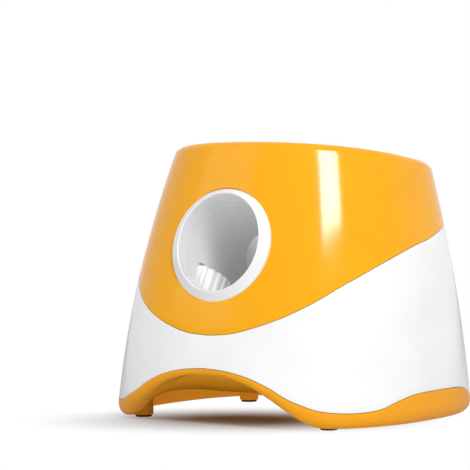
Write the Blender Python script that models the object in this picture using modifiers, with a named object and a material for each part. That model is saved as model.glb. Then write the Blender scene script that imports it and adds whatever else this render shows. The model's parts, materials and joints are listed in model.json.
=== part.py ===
"""Automatic dog ball launcher: a rounded body of two shells on a one-piece base, an open hopper on top,
and a rising barrel in which two spinning wheels throw the ball that a feed arm pushes up to them.
Front (the launch side) is -Y, +X is the right side seen from the front, +Z is up.
The origin is on the floor at the middle of the body's box."""

import math

import bmesh
import bpy
from mathutils import Matrix, Vector

MM = 0.001

# Body outline: a superellipse that changes from floor to rim
HEIGHT = 230 * MM
BASE_HALF_SIDE = 140 * MM
BASE_HALF_FRONT = 143 * MM
BASE_HALF_BACK = 137 * MM
TOP_HALF_SIDE = 102 * MM
TOP_HALF_FRONT = 89 * MM
TOP_HALF_BACK = 107 * MM
SIDE_BULGE = 8 * MM
FRONT_BULGE = 6 * MM
BASE_EXPONENT = 2.6
TOP_EXPONENT = 2.3
RIM_DROP = 24 * MM
RIM_ROLL = 5 * MM
RIM_LIP = 3 * MM
SHELL_WALL = 2.5 * MM
SEAM_GAP = 0.4 * MM
FIT_GAP = 0.3 * MM
OVERRUN = 4 * MM
COLUMNS = 60

# Seams round the body: heights at angles from the front, the same on both sides
SWOOSH_LOW = 74 * MM
SWOOSH_HIGH = 164 * MM
SWOOSH_RISE_SHARES = ((0, 0), (6, .02), (14, .08), (25, .18), (36, .30), (50, .465), (67, .635),
                      (88, .80), (105, .91), (125, .975), (150, 1), (180, 1))
BAND_ARCH = 47.5 * MM
BAND_FOOT = 14.5 * MM
BAND_SIDE = 26.5 * MM
BAND_KNOTS = ((0, BAND_ARCH, 1), (6, BAND_ARCH, .96), (13, BAND_ARCH, .865), (20, BAND_ARCH, .72),
              (26, BAND_ARCH, .56), (32, BAND_ARCH, .445), (39, BAND_FOOT, 1.14), (48, BAND_FOOT, 1),
              (57, BAND_FOOT, 1), (65, BAND_FOOT, 1.12), (73, BAND_SIDE, .82), (81, BAND_SIDE, .96),
              (91, BAND_SIDE, 1), (102, BAND_SIDE, .97), (111, BAND_SIDE, .83), (119, BAND_FOOT, 1.1),
              (129, BAND_FOOT, 1), (139, BAND_FOOT, 1.14), (152, BAND_SIDE, .86), (164, BAND_SIDE, 1),
              (180, BAND_SIDE, 1))
LIP_ARCH = 41.5 * MM
LIP_LOW = 2 * MM
LIP_RISE_SHARES = ((0, 1), (4, 1), (8, .93), (13, .82), (19, .62), (26, .37), (32, .17), (38, .04),
                   (45, 0), (180, 0))

# Base
BASE_WALL = 3 * MM
LIP_FILLET = 13 * MM
LIP_TUCK = 8 * MM
LIP_FILLET_SHARE = 0.9
LIP_FILLET_STEPS = 2
LIP_FLANGE = 12 * MM
PAN_HEIGHT = 25.5 * MM
PAN_INSET = 22 * MM
RAMP_INSET = 45 * MM
RAMP_RISE_SHARE = 0.42
FOOT_RADIUS = 8.2 * MM
FOOT_FRONT = (92.5 * MM, -94 * MM)
FOOT_REAR = (89 * MM, 57 * MM)
FOOT_PUCK_LOW = 1.8 * MM
PAD_RADIUS = 7 * MM
PAD_HEIGHT = 1.5 * MM
SCREW_SHANK = 1.5 * MM
SCREW_HEAD = 3 * MM
SCREW_HEAD_HEIGHT = 2 * MM
SCREW_SLOT = 0.8 * MM

STAND_X = 24 * MM
STAND_THICK = 8 * MM
STAND_FRONT_Y = -14 * MM
STAND_DEPTH = 16 * MM
STAND_TOP = 60 * MM

# Barrel, with its own frame: Y runs inward and down along the barrel, Z up from it
MOUTH_Y = -111 * MM
MOUTH_Z = 146 * MM
BARREL_TILT = math.radians(30)
RING_TILT = math.radians(15)
BARREL_BORE = 39.2 * MM
BARREL_WALL = 3 * MM
BARREL_LENGTH = 152 * MM
BARREL_SIDES = 40
RING_OUTER = 47.5 * MM
RING_CORE = 37.5 * MM
RING_LIP_WIDTH = 0.8 * MM
RING_PROUD = 5.5 * MM
RING_SHOULDER = 0.6 * MM
RING_DEPTH = 8 * MM
RING_EDGE = 0.8 * MM
COLLAR_Y = -9 * MM
COLLAR_TOP = 166 * MM
THROAT_BORE = 35 * MM
THROAT_WALL = 2.2 * MM
THROAT_GAP = 0.4 * MM
COLLAR_WALL = 3 * MM
THROAT_INSERT = 6 * MM
BOWL_DEPTH = 12 * MM
BOWL_TAPER = 3 * MM
BOWL_SPREAD_SHARES = (.25, .55, .85, 1)

# Launch wheels
WHEEL_RADIUS = 30 * MM
WHEEL_THICK = 22 * MM
WHEEL_NIP = 54 * MM
WHEEL_Y = 55 * MM
WHEEL_DROP = 12 * MM
TYRE_WALL = 5 * MM
TYRE_CHAMFER = 3 * MM
TREAD_DEPTH = 1.2 * MM
TREADS = 24
HUB_WEB = 6 * MM
HUB_BOSS = 7 * MM
AXLE_RADIUS = 1.5 * MM
AXLE_GAP = 0.2 * MM
SLOT_GAP = 1.5 * MM
SLOT_CORNER = 7 * MM
MOTOR_RADIUS = 13.85 * MM
MOTOR_LENGTH = 38 * MM
MOTOR_NECK = 3.5 * MM
MOTOR_NECK_HEIGHT = 2 * MM
PLATE_THICK = 3 * MM
PLATE_GAP = 3 * MM
PLATE_HALF = 17 * MM
MOTOR_SCREW_OFFSET = 10 * MM

# Feed arm, its gearmotor and the ball switch
ARM_PIVOT_Y = 130 * MM
ARM_PIVOT_DROP = 50 * MM
ARM_LENGTH = 42 * MM
ARM_LEAN = math.radians(16)
ARM_HALF_WIDTH = 5 * MM
ARM_HUB = 7 * MM
ARM_TIP = 4.5 * MM
ARM_AXLE = 2.5 * MM
ARM_SLOT_GAP = 2 * MM
GEARBOX_SIZE = (26 * MM, 24 * MM)
GEARBOX_REAR = 6 * MM
GEARBOX_RISE = 5.5 * MM
GEARBOX_GAP = 1 * MM
GEARBOX_EDGE = 1.5 * MM
FEED_MOTOR_RADIUS = 6.5 * MM
FEED_MOTOR_LENGTH = 25 * MM
SWITCH_SIZE = (14 * MM, 10 * MM, 12 * MM)
SWITCH_RISE = 12 * MM
PLUNGER_RADIUS = 2 * MM
PLUNGER_REACH = 4 * MM
PLUNGER_DEPTH = 5 * MM
PLUNGER_TRAVEL = 2 * MM

# Rear controls, with a frame whose Y points out of the back wall
PANEL_HEIGHT = 100 * MM
PANEL_LENGTH = 74 * MM
PANEL_WIDTH = 28 * MM
PANEL_PROUD = 1.5 * MM
PANEL_THICK = 7 * MM
PANEL_EDGE = 0.8 * MM
BUTTON_RADIUS = 6 * MM
BUTTON_PROUD = 1.8 * MM
BUTTON_FLANGE = 1 * MM
BUTTON_FLANGE_WIDTH = 1.2 * MM
BUTTON_TRAVEL = 1.2 * MM
BUTTON_EDGE = 0.6 * MM
POWER_BUTTON_X = -17 * MM
DISTANCE_BUTTON_X = 0.5 * MM
LENS_RADIUS = 2 * MM
LENS_PROUD = 0.5 * MM
LENS_FIRST_X = 14 * MM
LENS_STEP = 7 * MM
BOARD_THICK = 1.6 * MM
BOARD_MARGIN = 4 * MM
BOARD_SETBACK = 7 * MM
POST_RADIUS = 3 * MM
POST_X = 8 * MM
TACT_SIZE = 6 * MM
BUZZER_RADIUS = 6 * MM
BUZZER_HEIGHT = 6 * MM
BUZZER_X = 18 * MM
JACK_HEIGHT = 48 * MM
JACK_NECK = 5.5 * MM
JACK_BORE = 3 * MM
JACK_PIN = 1 * MM
JACK_PROUD = 0.8 * MM
JACK_BODY = (14 * MM, 11 * MM, 13 * MM)

# Batteries
CELL_RADIUS = 13.1 * MM
CELL_LENGTH = 48 * MM
CELL_NUB = 3.3 * MM
CELL_NUB_LENGTH = 1.8 * MM
CELL_GAP = 0.4 * MM
CELL_BACK_INSET = 37 * MM
TRAY_WALL = 2 * MM
TRAY_RIM = 1.5 * MM

COLOURS = {
    "orange": ((.99, .47, .01), .22), "base_orange": ((.92, .34, .01), .3),
    "white": ((.86, .86, .87), .25), "grey_white": ((.72, .72, .74), .35),
    "rubber": ((.03, .03, .03), .8), "tyre": ((.8, .8, .78), .6), "black": ((.03, .03, .035), .4),
    "steel": ((.6, .6, .62), .3), "board": ((.02, .16, .07), .5), "lens": ((.75, .8, .75), .2),
    "cell": ((.1, .1, .12), .35), "clear_grey": ((.3, .3, .32), .4),
}


# Scene set-up and small helpers

def clear_scene():
    for item in list(bpy.data.objects):
        bpy.data.objects.remove(item, do_unlink=True)


def new_collection(name):
    found = bpy.data.collections.new(name)
    bpy.context.scene.collection.children.link(found)
    return found


clear_scene()
PARTS = new_collection("dog_ball_launcher")
CUTTERS = new_collection("cutters")


def material(name, kind):
    colour, roughness = COLOURS[kind]
    made = bpy.data.materials.new(name)
    made.use_nodes = True
    shader = made.node_tree.nodes["Principled BSDF"]
    shader.inputs["Base Color"].default_value = (*colour, 1)
    shader.inputs["Roughness"].default_value = roughness
    shader.inputs["Metallic"].default_value = 1.0 if kind == "steel" else 0.0
    return made


def add_object(name, mesh, kind=None, frame=None, cutter=False):
    """Link a mesh as a part with its material, or as a cutter, placed by a frame's matrix."""
    item = bpy.data.objects.new(name, mesh)
    (CUTTERS if cutter else PARTS).objects.link(item)
    if kind:
        mesh.materials.append(material(name, kind))
    if cutter:
        item.hide_render = True
        item.display_type = 'WIRE'
    if frame is not None:
        item.matrix_world = frame
    return item


def mesh_from(bm, name, smooth=False):
    mesh = bpy.data.meshes.new(name)
    if bm.calc_volume(signed=True) < 0:
        bmesh.ops.reverse_faces(bm, faces=bm.faces)
    bm.to_mesh(mesh)
    bm.free()
    if smooth:
        mesh.shade_smooth()
        mesh.set_sharp_from_angle(angle=math.radians(35))
    return mesh


def box(name, low, high, kind=None, frame=None, cutter=False, bevel=0):
    bm = bmesh.new()
    bmesh.ops.create_cube(bm, size=1)
    for vertex in bm.verts:
        vertex.co = Vector(low[i] if vertex.co[i] < 0 else high[i] for i in range(3))
    item = add_object(name, mesh_from(bm, name), kind, frame, cutter)
    if bevel:
        add_bevel(item, bevel)
    return item


def cylinder(name, radius, start, end, kind=None, frame=None, cutter=False, sides=24, top=None):
    """A round bar between two points, or a cone where top gives the second radius."""
    start, end = Vector(start), Vector(end)
    bm = bmesh.new()
    bmesh.ops.create_cone(bm, cap_ends=True, segments=sides, radius1=radius,
                          radius2=radius if top is None else top, depth=(end - start).length)
    turn = (end - start).to_track_quat('Z', 'Y').to_matrix().to_4x4()
    bm.transform(Matrix.Translation((start + end) / 2) @ turn)
    return add_object(name, mesh_from(bm, name, smooth=True), kind, frame, cutter)


def add_bevel(item, width, segments=2, angle=math.radians(40)):
    bevel = item.modifiers.new("rounded_edges", 'BEVEL')
    bevel.width = width
    bevel.segments = segments
    bevel.limit_method = 'ANGLE'
    bevel.angle_limit = angle


def boolean(item, operation, *tools):
    for tool in tools:
        modifier = item.modifiers.new(f"{operation.lower()}_{tool.name}", 'BOOLEAN')
        modifier.operation = operation
        modifier.solver = 'EXACT'
        modifier.object = tool


def cut(item, *tools):
    boolean(item, 'DIFFERENCE', *tools)


def join(item, *tools):
    boolean(item, 'UNION', *tools)


def turned(name, profile, kind, frame=None, sides=32):
    """A profile of (radius, height) pairs turned about the frame's Z, outer side first and downward."""
    bm = bmesh.new()
    points = [bm.verts.new((radius, 0, height)) for radius, height in profile]
    for first, second in zip(points, points[1:]):
        bm.edges.new((first, second))
    if profile[0][0]:
        bm.edges.new((points[-1], points[0]))
    mesh = bpy.data.meshes.new(name)
    bm.to_mesh(mesh)
    bm.free()
    item = add_object(name, mesh, kind, frame)
    screw = item.modifiers.new("turned", 'SCREW')
    screw.steps = sides
    screw.render_steps = sides
    screw.use_merge_vertices = True
    screw.merge_threshold = MM / 100
    screw.use_smooth_shade = True
    return item


def empty(name, frame, parent=None):
    item = bpy.data.objects.new(name, None)
    PARTS.objects.link(item)
    item.matrix_world = frame
    if parent:
        item.parent = parent
        item.matrix_parent_inverse = parent.matrix_world.inverted()
    return item


def tilted_frame(x, y, z, tilt):
    return Matrix.Translation((x, y, z)) @ Matrix.Rotation(tilt, 4, 'X')


# Body outline and seams

def wall_point(angle, height, inset=0):
    """A point of the body's outer face: angle from the front towards +X, at a height, set in by an inset."""
    share = height / HEIGHT
    bulge = 4 * share * (1 - share)
    side = BASE_HALF_SIDE + (TOP_HALF_SIDE - BASE_HALF_SIDE) * share + SIDE_BULGE * bulge - inset
    front = BASE_HALF_FRONT + (TOP_HALF_FRONT - BASE_HALF_FRONT) * share + FRONT_BULGE * bulge - inset
    back = BASE_HALF_BACK + (TOP_HALF_BACK - BASE_HALF_BACK) * share - inset
    power = 2 / (BASE_EXPONENT + (TOP_EXPONENT - BASE_EXPONENT) * share)
    across, along = math.sin(angle), -math.cos(angle)
    x = side * math.copysign(abs(across) ** power, across)
    y = (back - front) / 2 + (back + front) / 2 * math.copysign(abs(along) ** power, along)
    return Vector((x, y, height))


def along_knots(angle, knots):
    """A smooth curve through (degrees, value) knots, the same on both sides of the front."""
    degrees = abs((math.degrees(angle) + 180) % 360 - 180)
    for i in range(len(knots) - 1):
        if degrees <= knots[i + 1][0]:
            break
    before, after = knots[max(i - 1, 0)], knots[min(i + 2, len(knots) - 1)]
    start, end = knots[i], knots[i + 1]
    span = end[0] - start[0]
    share = (degrees - start[0]) / span
    rise_in = (end[1] - before[1]) / max(end[0] - before[0], span) * span
    rise_out = (after[1] - start[1]) / max(after[0] - start[0], span) * span
    return (start[1] * (1 + 2 * share) * (1 - share) ** 2 + rise_in * share * (1 - share) ** 2
            + end[1] * share ** 2 * (3 - 2 * share) + rise_out * share ** 2 * (share - 1))


def swoosh_height(angle):
    return SWOOSH_LOW + (SWOOSH_HIGH - SWOOSH_LOW) * along_knots(angle, SWOOSH_RISE_SHARES)


def band_height(angle):
    return along_knots(angle, [(degrees, size * share) for degrees, size, share in BAND_KNOTS])


def lip_height(angle):
    return LIP_LOW + (LIP_ARCH - LIP_LOW) * along_knots(angle, LIP_RISE_SHARES)


def rim_height(angle):
    y = wall_point(angle, HEIGHT).y
    front, back = wall_point(0, HEIGHT).y, wall_point(math.pi, HEIGHT).y
    return HEIGHT - RIM_DROP * (y - front) / (back - front)


def column_angles(count=COLUMNS):
    return [2 * math.pi * i / count for i in range(count)]


def loft(name, rows, kind, frame=None):
    """An open surface through rings of points, lowest or innermost first; a ring of one point is a pole."""
    bm = bmesh.new()
    rings = [[bm.verts.new(point) for point in row] for row in rows]
    count = max(len(ring) for ring in rings)
    for low, high in zip(rings, rings[1:]):
        for i in range(count):
            corners = [low[i % len(low)], low[(i + 1) % count % len(low)],
                       high[(i + 1) % count % len(high)], high[i % len(high)]]
            bm.faces.new(list(dict.fromkeys(corners)))
    mesh = bpy.data.meshes.new(name)
    bm.to_mesh(mesh)
    bm.free()
    mesh.shade_smooth()
    return add_object(name, mesh, kind, frame)


def thicken(item, wall, offset=-1):
    shell = item.modifiers.new("wall", 'SOLIDIFY')
    shell.thickness = wall
    shell.offset = offset
    shell.use_even_offset = True


def steps(low, high, count):
    return [low + (high - low) * i / count for i in range(count + 1)]


# Body shells

def rim_roll_profile():
    """Insets and drops below the rim of the rolled edge, from outside over the top to inside."""
    roll = [(RIM_ROLL * (1 - math.cos(math.radians(a))), RIM_ROLL * (1 - math.sin(math.radians(a))))
            for a in range(0, 181, 45)]
    return roll + [(2 * RIM_ROLL, RIM_ROLL + RIM_LIP)]


def make_upper_shell(ring_hole):
    angles = column_angles()
    rows = []
    for share in steps(0, 1, 4)[:-1]:
        rows.append([])
        for angle in angles:
            low = swoosh_height(angle) + SEAM_GAP / 2
            high = rim_height(angle) - RIM_ROLL
            rows[-1].append(wall_point(angle, low + (high - low) * share))
    for inset, drop in rim_roll_profile():
        rows.append([wall_point(angle, rim_height(angle) - drop, inset) for angle in angles])
    shell = loft("upper_shell", rows, "orange")
    thicken(shell, SHELL_WALL)
    cut(shell, ring_hole)
    return shell


def make_lower_shell(*holes):
    rows = []
    for share in steps(0, 1, 3):
        rows.append([])
        for angle in column_angles():
            low = band_height(angle) + SEAM_GAP / 2
            high = swoosh_height(angle) - SEAM_GAP / 2
            rows[-1].append(wall_point(angle, low + (high - low) * share))
    shell = loft("lower_shell", rows, "white")
    thicken(shell, SHELL_WALL)
    cut(shell, *holes)
    return shell


# Base and feet

def base_rows():
    """From the middle of the pan out over the front ramp and down the skirt, round the lip and up the band."""
    angles = column_angles()
    rows = [[Vector((0, 0, PAN_HEIGHT))],
            [wall_point(angle, PAN_HEIGHT, RAMP_INSET) for angle in angles], [], []]
    for angle in angles:
        lift = max(lip_height(angle) - PAN_HEIGHT, 0) * RAMP_RISE_SHARE
        rows[2].append(wall_point(angle, PAN_HEIGHT + lift, PAN_INSET))
        rows[3].append(wall_point(angle, lip_height(angle), LIP_FLANGE))
    for turn in steps(math.pi / 2, 0, LIP_FILLET_STEPS):
        rows.append([])
        for angle in angles:
            low, high = lip_height(angle), band_height(angle)
            fillet = min(LIP_FILLET, (high - low) * LIP_FILLET_SHARE)
            tuck = LIP_TUCK * fillet / LIP_FILLET
            rows[-1].append(wall_point(angle, low + fillet * (1 - math.sin(turn)),
                                       tuck * (1 - math.cos(turn))))
    rows.append([wall_point(angle, band_height(angle) - SEAM_GAP / 2) for angle in angles])
    return rows


def foot_places():
    fronts = [("front_left", -FOOT_FRONT[0], FOOT_FRONT[1]), ("front_right", *FOOT_FRONT)]
    return fronts + [("rear_left", -FOOT_REAR[0], FOOT_REAR[1]), ("rear_right", *FOOT_REAR)]


def make_base(barrel_clearance):
    base = loft("base", base_rows(), "base_orange")
    thicken(base, BASE_WALL)
    for name, x, y in foot_places():
        puck = cylinder(f"puck_{name}", FOOT_RADIUS, (x, y, FOOT_PUCK_LOW),
                        (x, y, PAN_HEIGHT + BASE_WALL / 2), cutter=True)
        join(base, puck)
    for side in (-1, 1):
        near, far = side * STAND_X, side * (STAND_X + STAND_THICK)
        post = box(f"stand_post_{'left' if side < 0 else 'right'}",
                   (min(near, far), STAND_FRONT_Y, PAN_HEIGHT + BASE_WALL / 2),
                   (max(near, far), STAND_FRONT_Y + STAND_DEPTH, STAND_TOP), cutter=True)
        cut(post, barrel_clearance)
        join(base, post)
    low, high = door_box()
    cut(base, box("door_opening", (low[0] - FIT_GAP, low[1] - FIT_GAP, 0),
                  (high[0] + FIT_GAP, high[1] + FIT_GAP, PAN_HEIGHT + BASE_WALL + OVERRUN), cutter=True))
    return base


def make_foot_pads():
    for name, x, y in foot_places():
        cylinder(f"foot_pad_{name}", PAD_RADIUS, (x, y, 0), (x, y, PAD_HEIGHT), "rubber")


# Batteries under a door in the base's pan

def cell_field():
    """Half length and depth of the two rows of three cells."""
    return 1.5 * CELL_LENGTH + 2 * CELL_GAP, 4 * CELL_RADIUS + 3 * CELL_GAP


def cell_front():
    """Y of the cells' front side, measured from the base's back edge."""
    return BASE_HALF_BACK - CELL_BACK_INSET - cell_field()[1]


def door_box():
    half, depth = cell_field()
    half += TRAY_WALL
    front = cell_front() - TRAY_WALL
    return (-half, front, PAN_HEIGHT), (half, cell_front() + depth + TRAY_WALL, PAN_HEIGHT + BASE_WALL)


def cell_low_z():
    return PAN_HEIGHT + BASE_WALL + CELL_GAP


def make_battery_tray():
    half, depth = cell_field()
    low = Vector((-half - TRAY_WALL, cell_front() - TRAY_WALL, PAN_HEIGHT + BASE_WALL + FIT_GAP))
    high = Vector((half + TRAY_WALL, cell_front() + depth + TRAY_WALL,
                   cell_low_z() + 2 * CELL_RADIUS + CELL_GAP + TRAY_WALL))
    low -= Vector((TRAY_RIM, TRAY_RIM, 0))
    high += Vector((TRAY_RIM, TRAY_RIM, 0))
    tray = box("battery_tray", low, high, "black")
    inner = box("tray_hollow", (-half, cell_front(), low.z - OVERRUN),
                (half, cell_front() + depth, high.z - TRAY_WALL), cutter=True)
    cut(tray, inner)
    return high.z


def make_battery_cells():
    step = CELL_LENGTH + CELL_GAP
    number = 0
    for row in range(2):
        direction = 1 if row == 0 else -1
        y = cell_front() + CELL_GAP + CELL_RADIUS + row * (2 * CELL_RADIUS + CELL_GAP)
        for place in (-1, 0, 1):
            number += 1
            middle = place * step
            end = middle + direction * CELL_LENGTH / 2
            shoulder = end - direction * CELL_NUB_LENGTH
            start = middle - direction * CELL_LENGTH / 2
            z = cell_low_z() + CELL_RADIUS
            frame = Matrix.Translation((start, y, z)) @ Matrix.Rotation(direction * math.pi / 2, 4, 'Y')
            body = abs(shoulder - start)
            turned(f"battery_cell_{number}", [(0, CELL_LENGTH), (CELL_NUB, CELL_LENGTH), (CELL_NUB, body),
                                              (CELL_RADIUS, body), (CELL_RADIUS, 0), (0, 0)],
                   "cell", frame, sides=18)


def make_battery_door():
    low, high = door_box()
    hinge = empty("battery_door_hinge", Matrix.Translation((0, low[1], low[2])))
    door = box("battery_door", low, high, "base_orange")
    latch_y = high[1] - TRAY_WALL - SCREW_HEAD
    hole = cylinder("door_screw_hole", SCREW_SHANK + AXLE_GAP, (0, latch_y, 0),
                    (0, latch_y, high[2] + OVERRUN), cutter=True, sides=16)
    recess = cylinder("door_screw_recess", SCREW_HEAD + FIT_GAP, (0, latch_y, 0),
                      (0, latch_y, low[2] + BASE_WALL / 2), cutter=True, sides=16)
    cut(door, hole, recess)
    screw = make_screw("battery_door_screw", Vector((0, latch_y, low[2] + BASE_WALL / 2 - FIT_GAP)),
                       Vector((0, 0, 1)), BASE_WALL / 2, head_height=BASE_WALL / 2 - FIT_GAP)
    for item in (door, screw):
        item.parent = hinge
        item.matrix_parent_inverse = hinge.matrix_world.inverted()


def make_screw(name, seat, direction, length, frame=None, head_height=SCREW_HEAD_HEIGHT):
    """A screw whose head sits on a point and whose shank runs along a direction from it."""
    turn = direction.to_track_quat('Z', 'Y').to_matrix().to_4x4()
    place = (frame or Matrix.Identity(4)) @ Matrix.Translation(seat) @ turn
    screw = turned(name, [(0, length), (SCREW_SHANK, length), (SCREW_SHANK, 0), (SCREW_HEAD, 0),
                          (SCREW_HEAD, -head_height), (0, -head_height)], "steel", place, sides=12)
    slot = box(f"{name}_slot", (-SCREW_HEAD - FIT_GAP, -SCREW_SLOT / 2, -head_height - FIT_GAP),
               (SCREW_HEAD + FIT_GAP, SCREW_SLOT / 2, -head_height / 2), frame=place, cutter=True)
    cut(screw, slot)
    return screw


# Barrel and muzzle

BARREL_FRAME = tilted_frame(0, MOUTH_Y, MOUTH_Z, -BARREL_TILT)
RING_FRAME = tilted_frame(0, MOUTH_Y, MOUTH_Z, -RING_TILT)
BARREL_OUTER = BARREL_BORE + BARREL_WALL
BARREL_END = BARREL_LENGTH + BARREL_WALL


def barrel_cutter(name, radius):
    """A round cutter along the barrel, for what it passes or rests on."""
    return cylinder(name, radius, (0, -RING_OUTER, 0), (0, BARREL_END + FIT_GAP, 0), frame=BARREL_FRAME,
                    cutter=True, sides=BARREL_SIDES)


def make_muzzle_ring():
    """The bezel: a cone that rises from the shell to a lip round the bore, and a sleeve behind it."""
    flat = RING_FRAME @ Matrix.Rotation(math.pi / 2, 4, 'X')
    lip = BARREL_BORE / math.cos(BARREL_TILT - RING_TILT) + RING_LIP_WIDTH
    ring = turned("muzzle_ring", [(RING_CORE, RING_PROUD), (lip, RING_PROUD), (RING_OUTER, RING_SHOULDER + RING_EDGE),
                                  (RING_OUTER, -RING_DEPTH), (RING_CORE, -RING_DEPTH)],
                  "grey_white", flat, sides=40)
    cut(ring, cylinder("ring_bore", BARREL_BORE, (0, -RING_OUTER, 0), (0, RING_OUTER, 0), frame=BARREL_FRAME,
                       cutter=True, sides=BARREL_SIDES))
    return cylinder("ring_hole", RING_OUTER + FIT_GAP, (0, -RING_OUTER, 0), (0, RING_OUTER, 0),
                    frame=RING_FRAME, cutter=True, sides=40)


def wheel_slot(side):
    half = math.sqrt(WHEEL_RADIUS ** 2 - (wheel_x() - BARREL_OUTER) ** 2) + SLOT_GAP
    low = -WHEEL_DROP - WHEEL_THICK / 2 - SLOT_GAP
    high = -WHEEL_DROP + WHEEL_THICK / 2 + SLOT_GAP
    near, far = side * BARREL_BORE / 2, side * (BARREL_OUTER + OVERRUN)
    slot = box(f"wheel_slot_{'left' if side < 0 else 'right'}", (min(near, far), WHEEL_Y - half, low),
               (max(near, far), WHEEL_Y + half, high), frame=BARREL_FRAME, cutter=True)
    add_bevel(slot, SLOT_CORNER, segments=4)
    return slot


def wheel_x():
    return WHEEL_NIP / 2 + WHEEL_RADIUS


def plate_top():
    return -WHEEL_DROP - WHEEL_THICK / 2 - PLATE_GAP


def make_launch_barrel():
    """Tube, feed collar and motor plates in one moulding, open at the mouth, the slots and the collar."""
    barrel = cylinder("launch_barrel", BARREL_OUTER, (0, -RING_OUTER, 0), (0, BARREL_END, 0), "white",
                      BARREL_FRAME, sides=BARREL_SIDES)
    collar_bore = THROAT_BORE + THROAT_WALL + THROAT_GAP
    axis_z = MOUTH_Z - (COLLAR_Y - MOUTH_Y) * math.tan(BARREL_TILT)
    join(barrel, cylinder("feed_collar", collar_bore + COLLAR_WALL, (0, COLLAR_Y, axis_z),
                          (0, COLLAR_Y, COLLAR_TOP), cutter=True, sides=BARREL_SIDES))
    for side in (-1, 1):
        word = "left" if side < 0 else "right"
        near = side * math.sqrt(BARREL_OUTER ** 2 - plate_top() ** 2) - side * BARREL_WALL
        far = side * (wheel_x() + PLATE_HALF)
        plate = box(f"motor_plate_{word}", (min(near, far), WHEEL_Y - PLATE_HALF, plate_top() - PLATE_THICK),
                    (max(near, far), WHEEL_Y + PLATE_HALF, plate_top()), frame=BARREL_FRAME, cutter=True)
        join(barrel, plate)
    cut(barrel, cylinder("barrel_bore", BARREL_BORE, (0, -RING_OUTER - OVERRUN, 0), (0, BARREL_LENGTH, 0),
                         frame=BARREL_FRAME, cutter=True, sides=BARREL_SIDES))
    cut(barrel, cylinder("collar_bore", collar_bore, (0, COLLAR_Y, axis_z),
                         (0, COLLAR_Y, COLLAR_TOP + OVERRUN), cutter=True, sides=BARREL_SIDES))
    cut(barrel, box("mouth_trim", (-2 * BARREL_OUTER, -2 * RING_OUTER, -2 * BARREL_OUTER),
                    (2 * BARREL_OUTER, RING_DEPTH + FIT_GAP, 2 * BARREL_OUTER), frame=RING_FRAME,
                    cutter=True))
    half_slot = ARM_HALF_WIDTH + ARM_SLOT_GAP
    cut(barrel, box("arm_slot", (-half_slot, ARM_PIVOT_Y - ARM_LENGTH / 2 - ARM_HUB, -BARREL_OUTER - OVERRUN),
                    (half_slot, BARREL_LENGTH - ARM_SLOT_GAP, -BARREL_BORE / 2), frame=BARREL_FRAME,
                    cutter=True))
    cut(barrel, cylinder("plunger_hole", PLUNGER_RADIUS + FIT_GAP, (0, BARREL_LENGTH - OVERRUN, SWITCH_RISE),
                         (0, BARREL_END + OVERRUN, SWITCH_RISE), frame=BARREL_FRAME, cutter=True, sides=16))
    for side in (-1, 1):
        word = "left" if side < 0 else "right"
        x = side * wheel_x()
        floor = plate_top() - PLATE_THICK - OVERRUN
        cut(barrel, wheel_slot(side),
            cylinder(f"neck_hole_{word}", MOTOR_NECK + FIT_GAP, (x, WHEEL_Y, floor),
                     (x, WHEEL_Y, plate_top() + OVERRUN), frame=BARREL_FRAME, cutter=True, sides=20))
        for number, offset in enumerate((-MOTOR_SCREW_OFFSET, MOTOR_SCREW_OFFSET), 1):
            cut(barrel, cylinder(f"motor_screw_hole_{word}_{number}", SCREW_SHANK + AXLE_GAP,
                                 (x, WHEEL_Y + offset, floor), (x, WHEEL_Y + offset, plate_top() + OVERRUN),
                                 frame=BARREL_FRAME, cutter=True, sides=12))
    return barrel


def make_hopper_bowl():
    """A funnel from the rolled rim down to a round throat that slides into the barrel's collar."""
    angles = column_angles()
    inset = 2 * RIM_ROLL + FIT_GAP
    throat_outer = THROAT_BORE + THROAT_WALL
    rows = [[], []]
    for angle in angles:
        circle = Vector((math.sin(angle) * throat_outer, COLLAR_Y - math.cos(angle) * throat_outer, 0))
        rows[0].append(circle + Vector((0, 0, COLLAR_TOP - THROAT_INSERT)))
        rows[1].append(circle + Vector((0, 0, COLLAR_TOP + COLLAR_WALL)))
    for share in BOWL_SPREAD_SHARES:
        rows.append([])
        for low, angle in zip(rows[1], angles):
            top = wall_point(angle, rim_height(angle) - RIM_ROLL - BOWL_DEPTH, inset + BOWL_TAPER)
            rows[-1].append(low.lerp(top, share))
    rows.append([wall_point(angle, rim_height(angle) - RIM_ROLL, inset) for angle in angles])
    bowl = loft("hopper_bowl", rows, "white")
    thicken(bowl, THROAT_WALL, offset=-1)
    return bowl


# Launch wheels and their motors

def wheel_frame(side):
    return BARREL_FRAME @ Matrix.Translation((side * wheel_x(), WHEEL_Y, -WHEEL_DROP))


def make_tyre(name, frame):
    """A ring whose outer face has ridges across it, all round."""
    half = WHEEL_THICK / 2
    inner = WHEEL_RADIUS - TYRE_WALL
    section = ((inner, -half), (WHEEL_RADIUS - TYRE_CHAMFER, -half), (WHEEL_RADIUS, TYRE_CHAMFER - half),
               (WHEEL_RADIUS, half - TYRE_CHAMFER), (WHEEL_RADIUS - TYRE_CHAMFER, half), (inner, half))
    bm = bmesh.new()
    rings = []
    for i, angle in enumerate(column_angles(2 * TREADS)):
        groove = TREAD_DEPTH * (i % 2)
        rings.append([bm.verts.new(((radius - groove * (radius > inner)) * math.cos(angle),
                                    (radius - groove * (radius > inner)) * math.sin(angle), height))
                      for radius, height in section])
    for i, ring in enumerate(rings):
        following = rings[(i + 1) % len(rings)]
        for j in range(len(section)):
            k = (j + 1) % len(section)
            bm.faces.new((ring[j], following[j], following[k], ring[k]))
    return add_object(name, mesh_from(bm, name), "tyre", frame)


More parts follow.
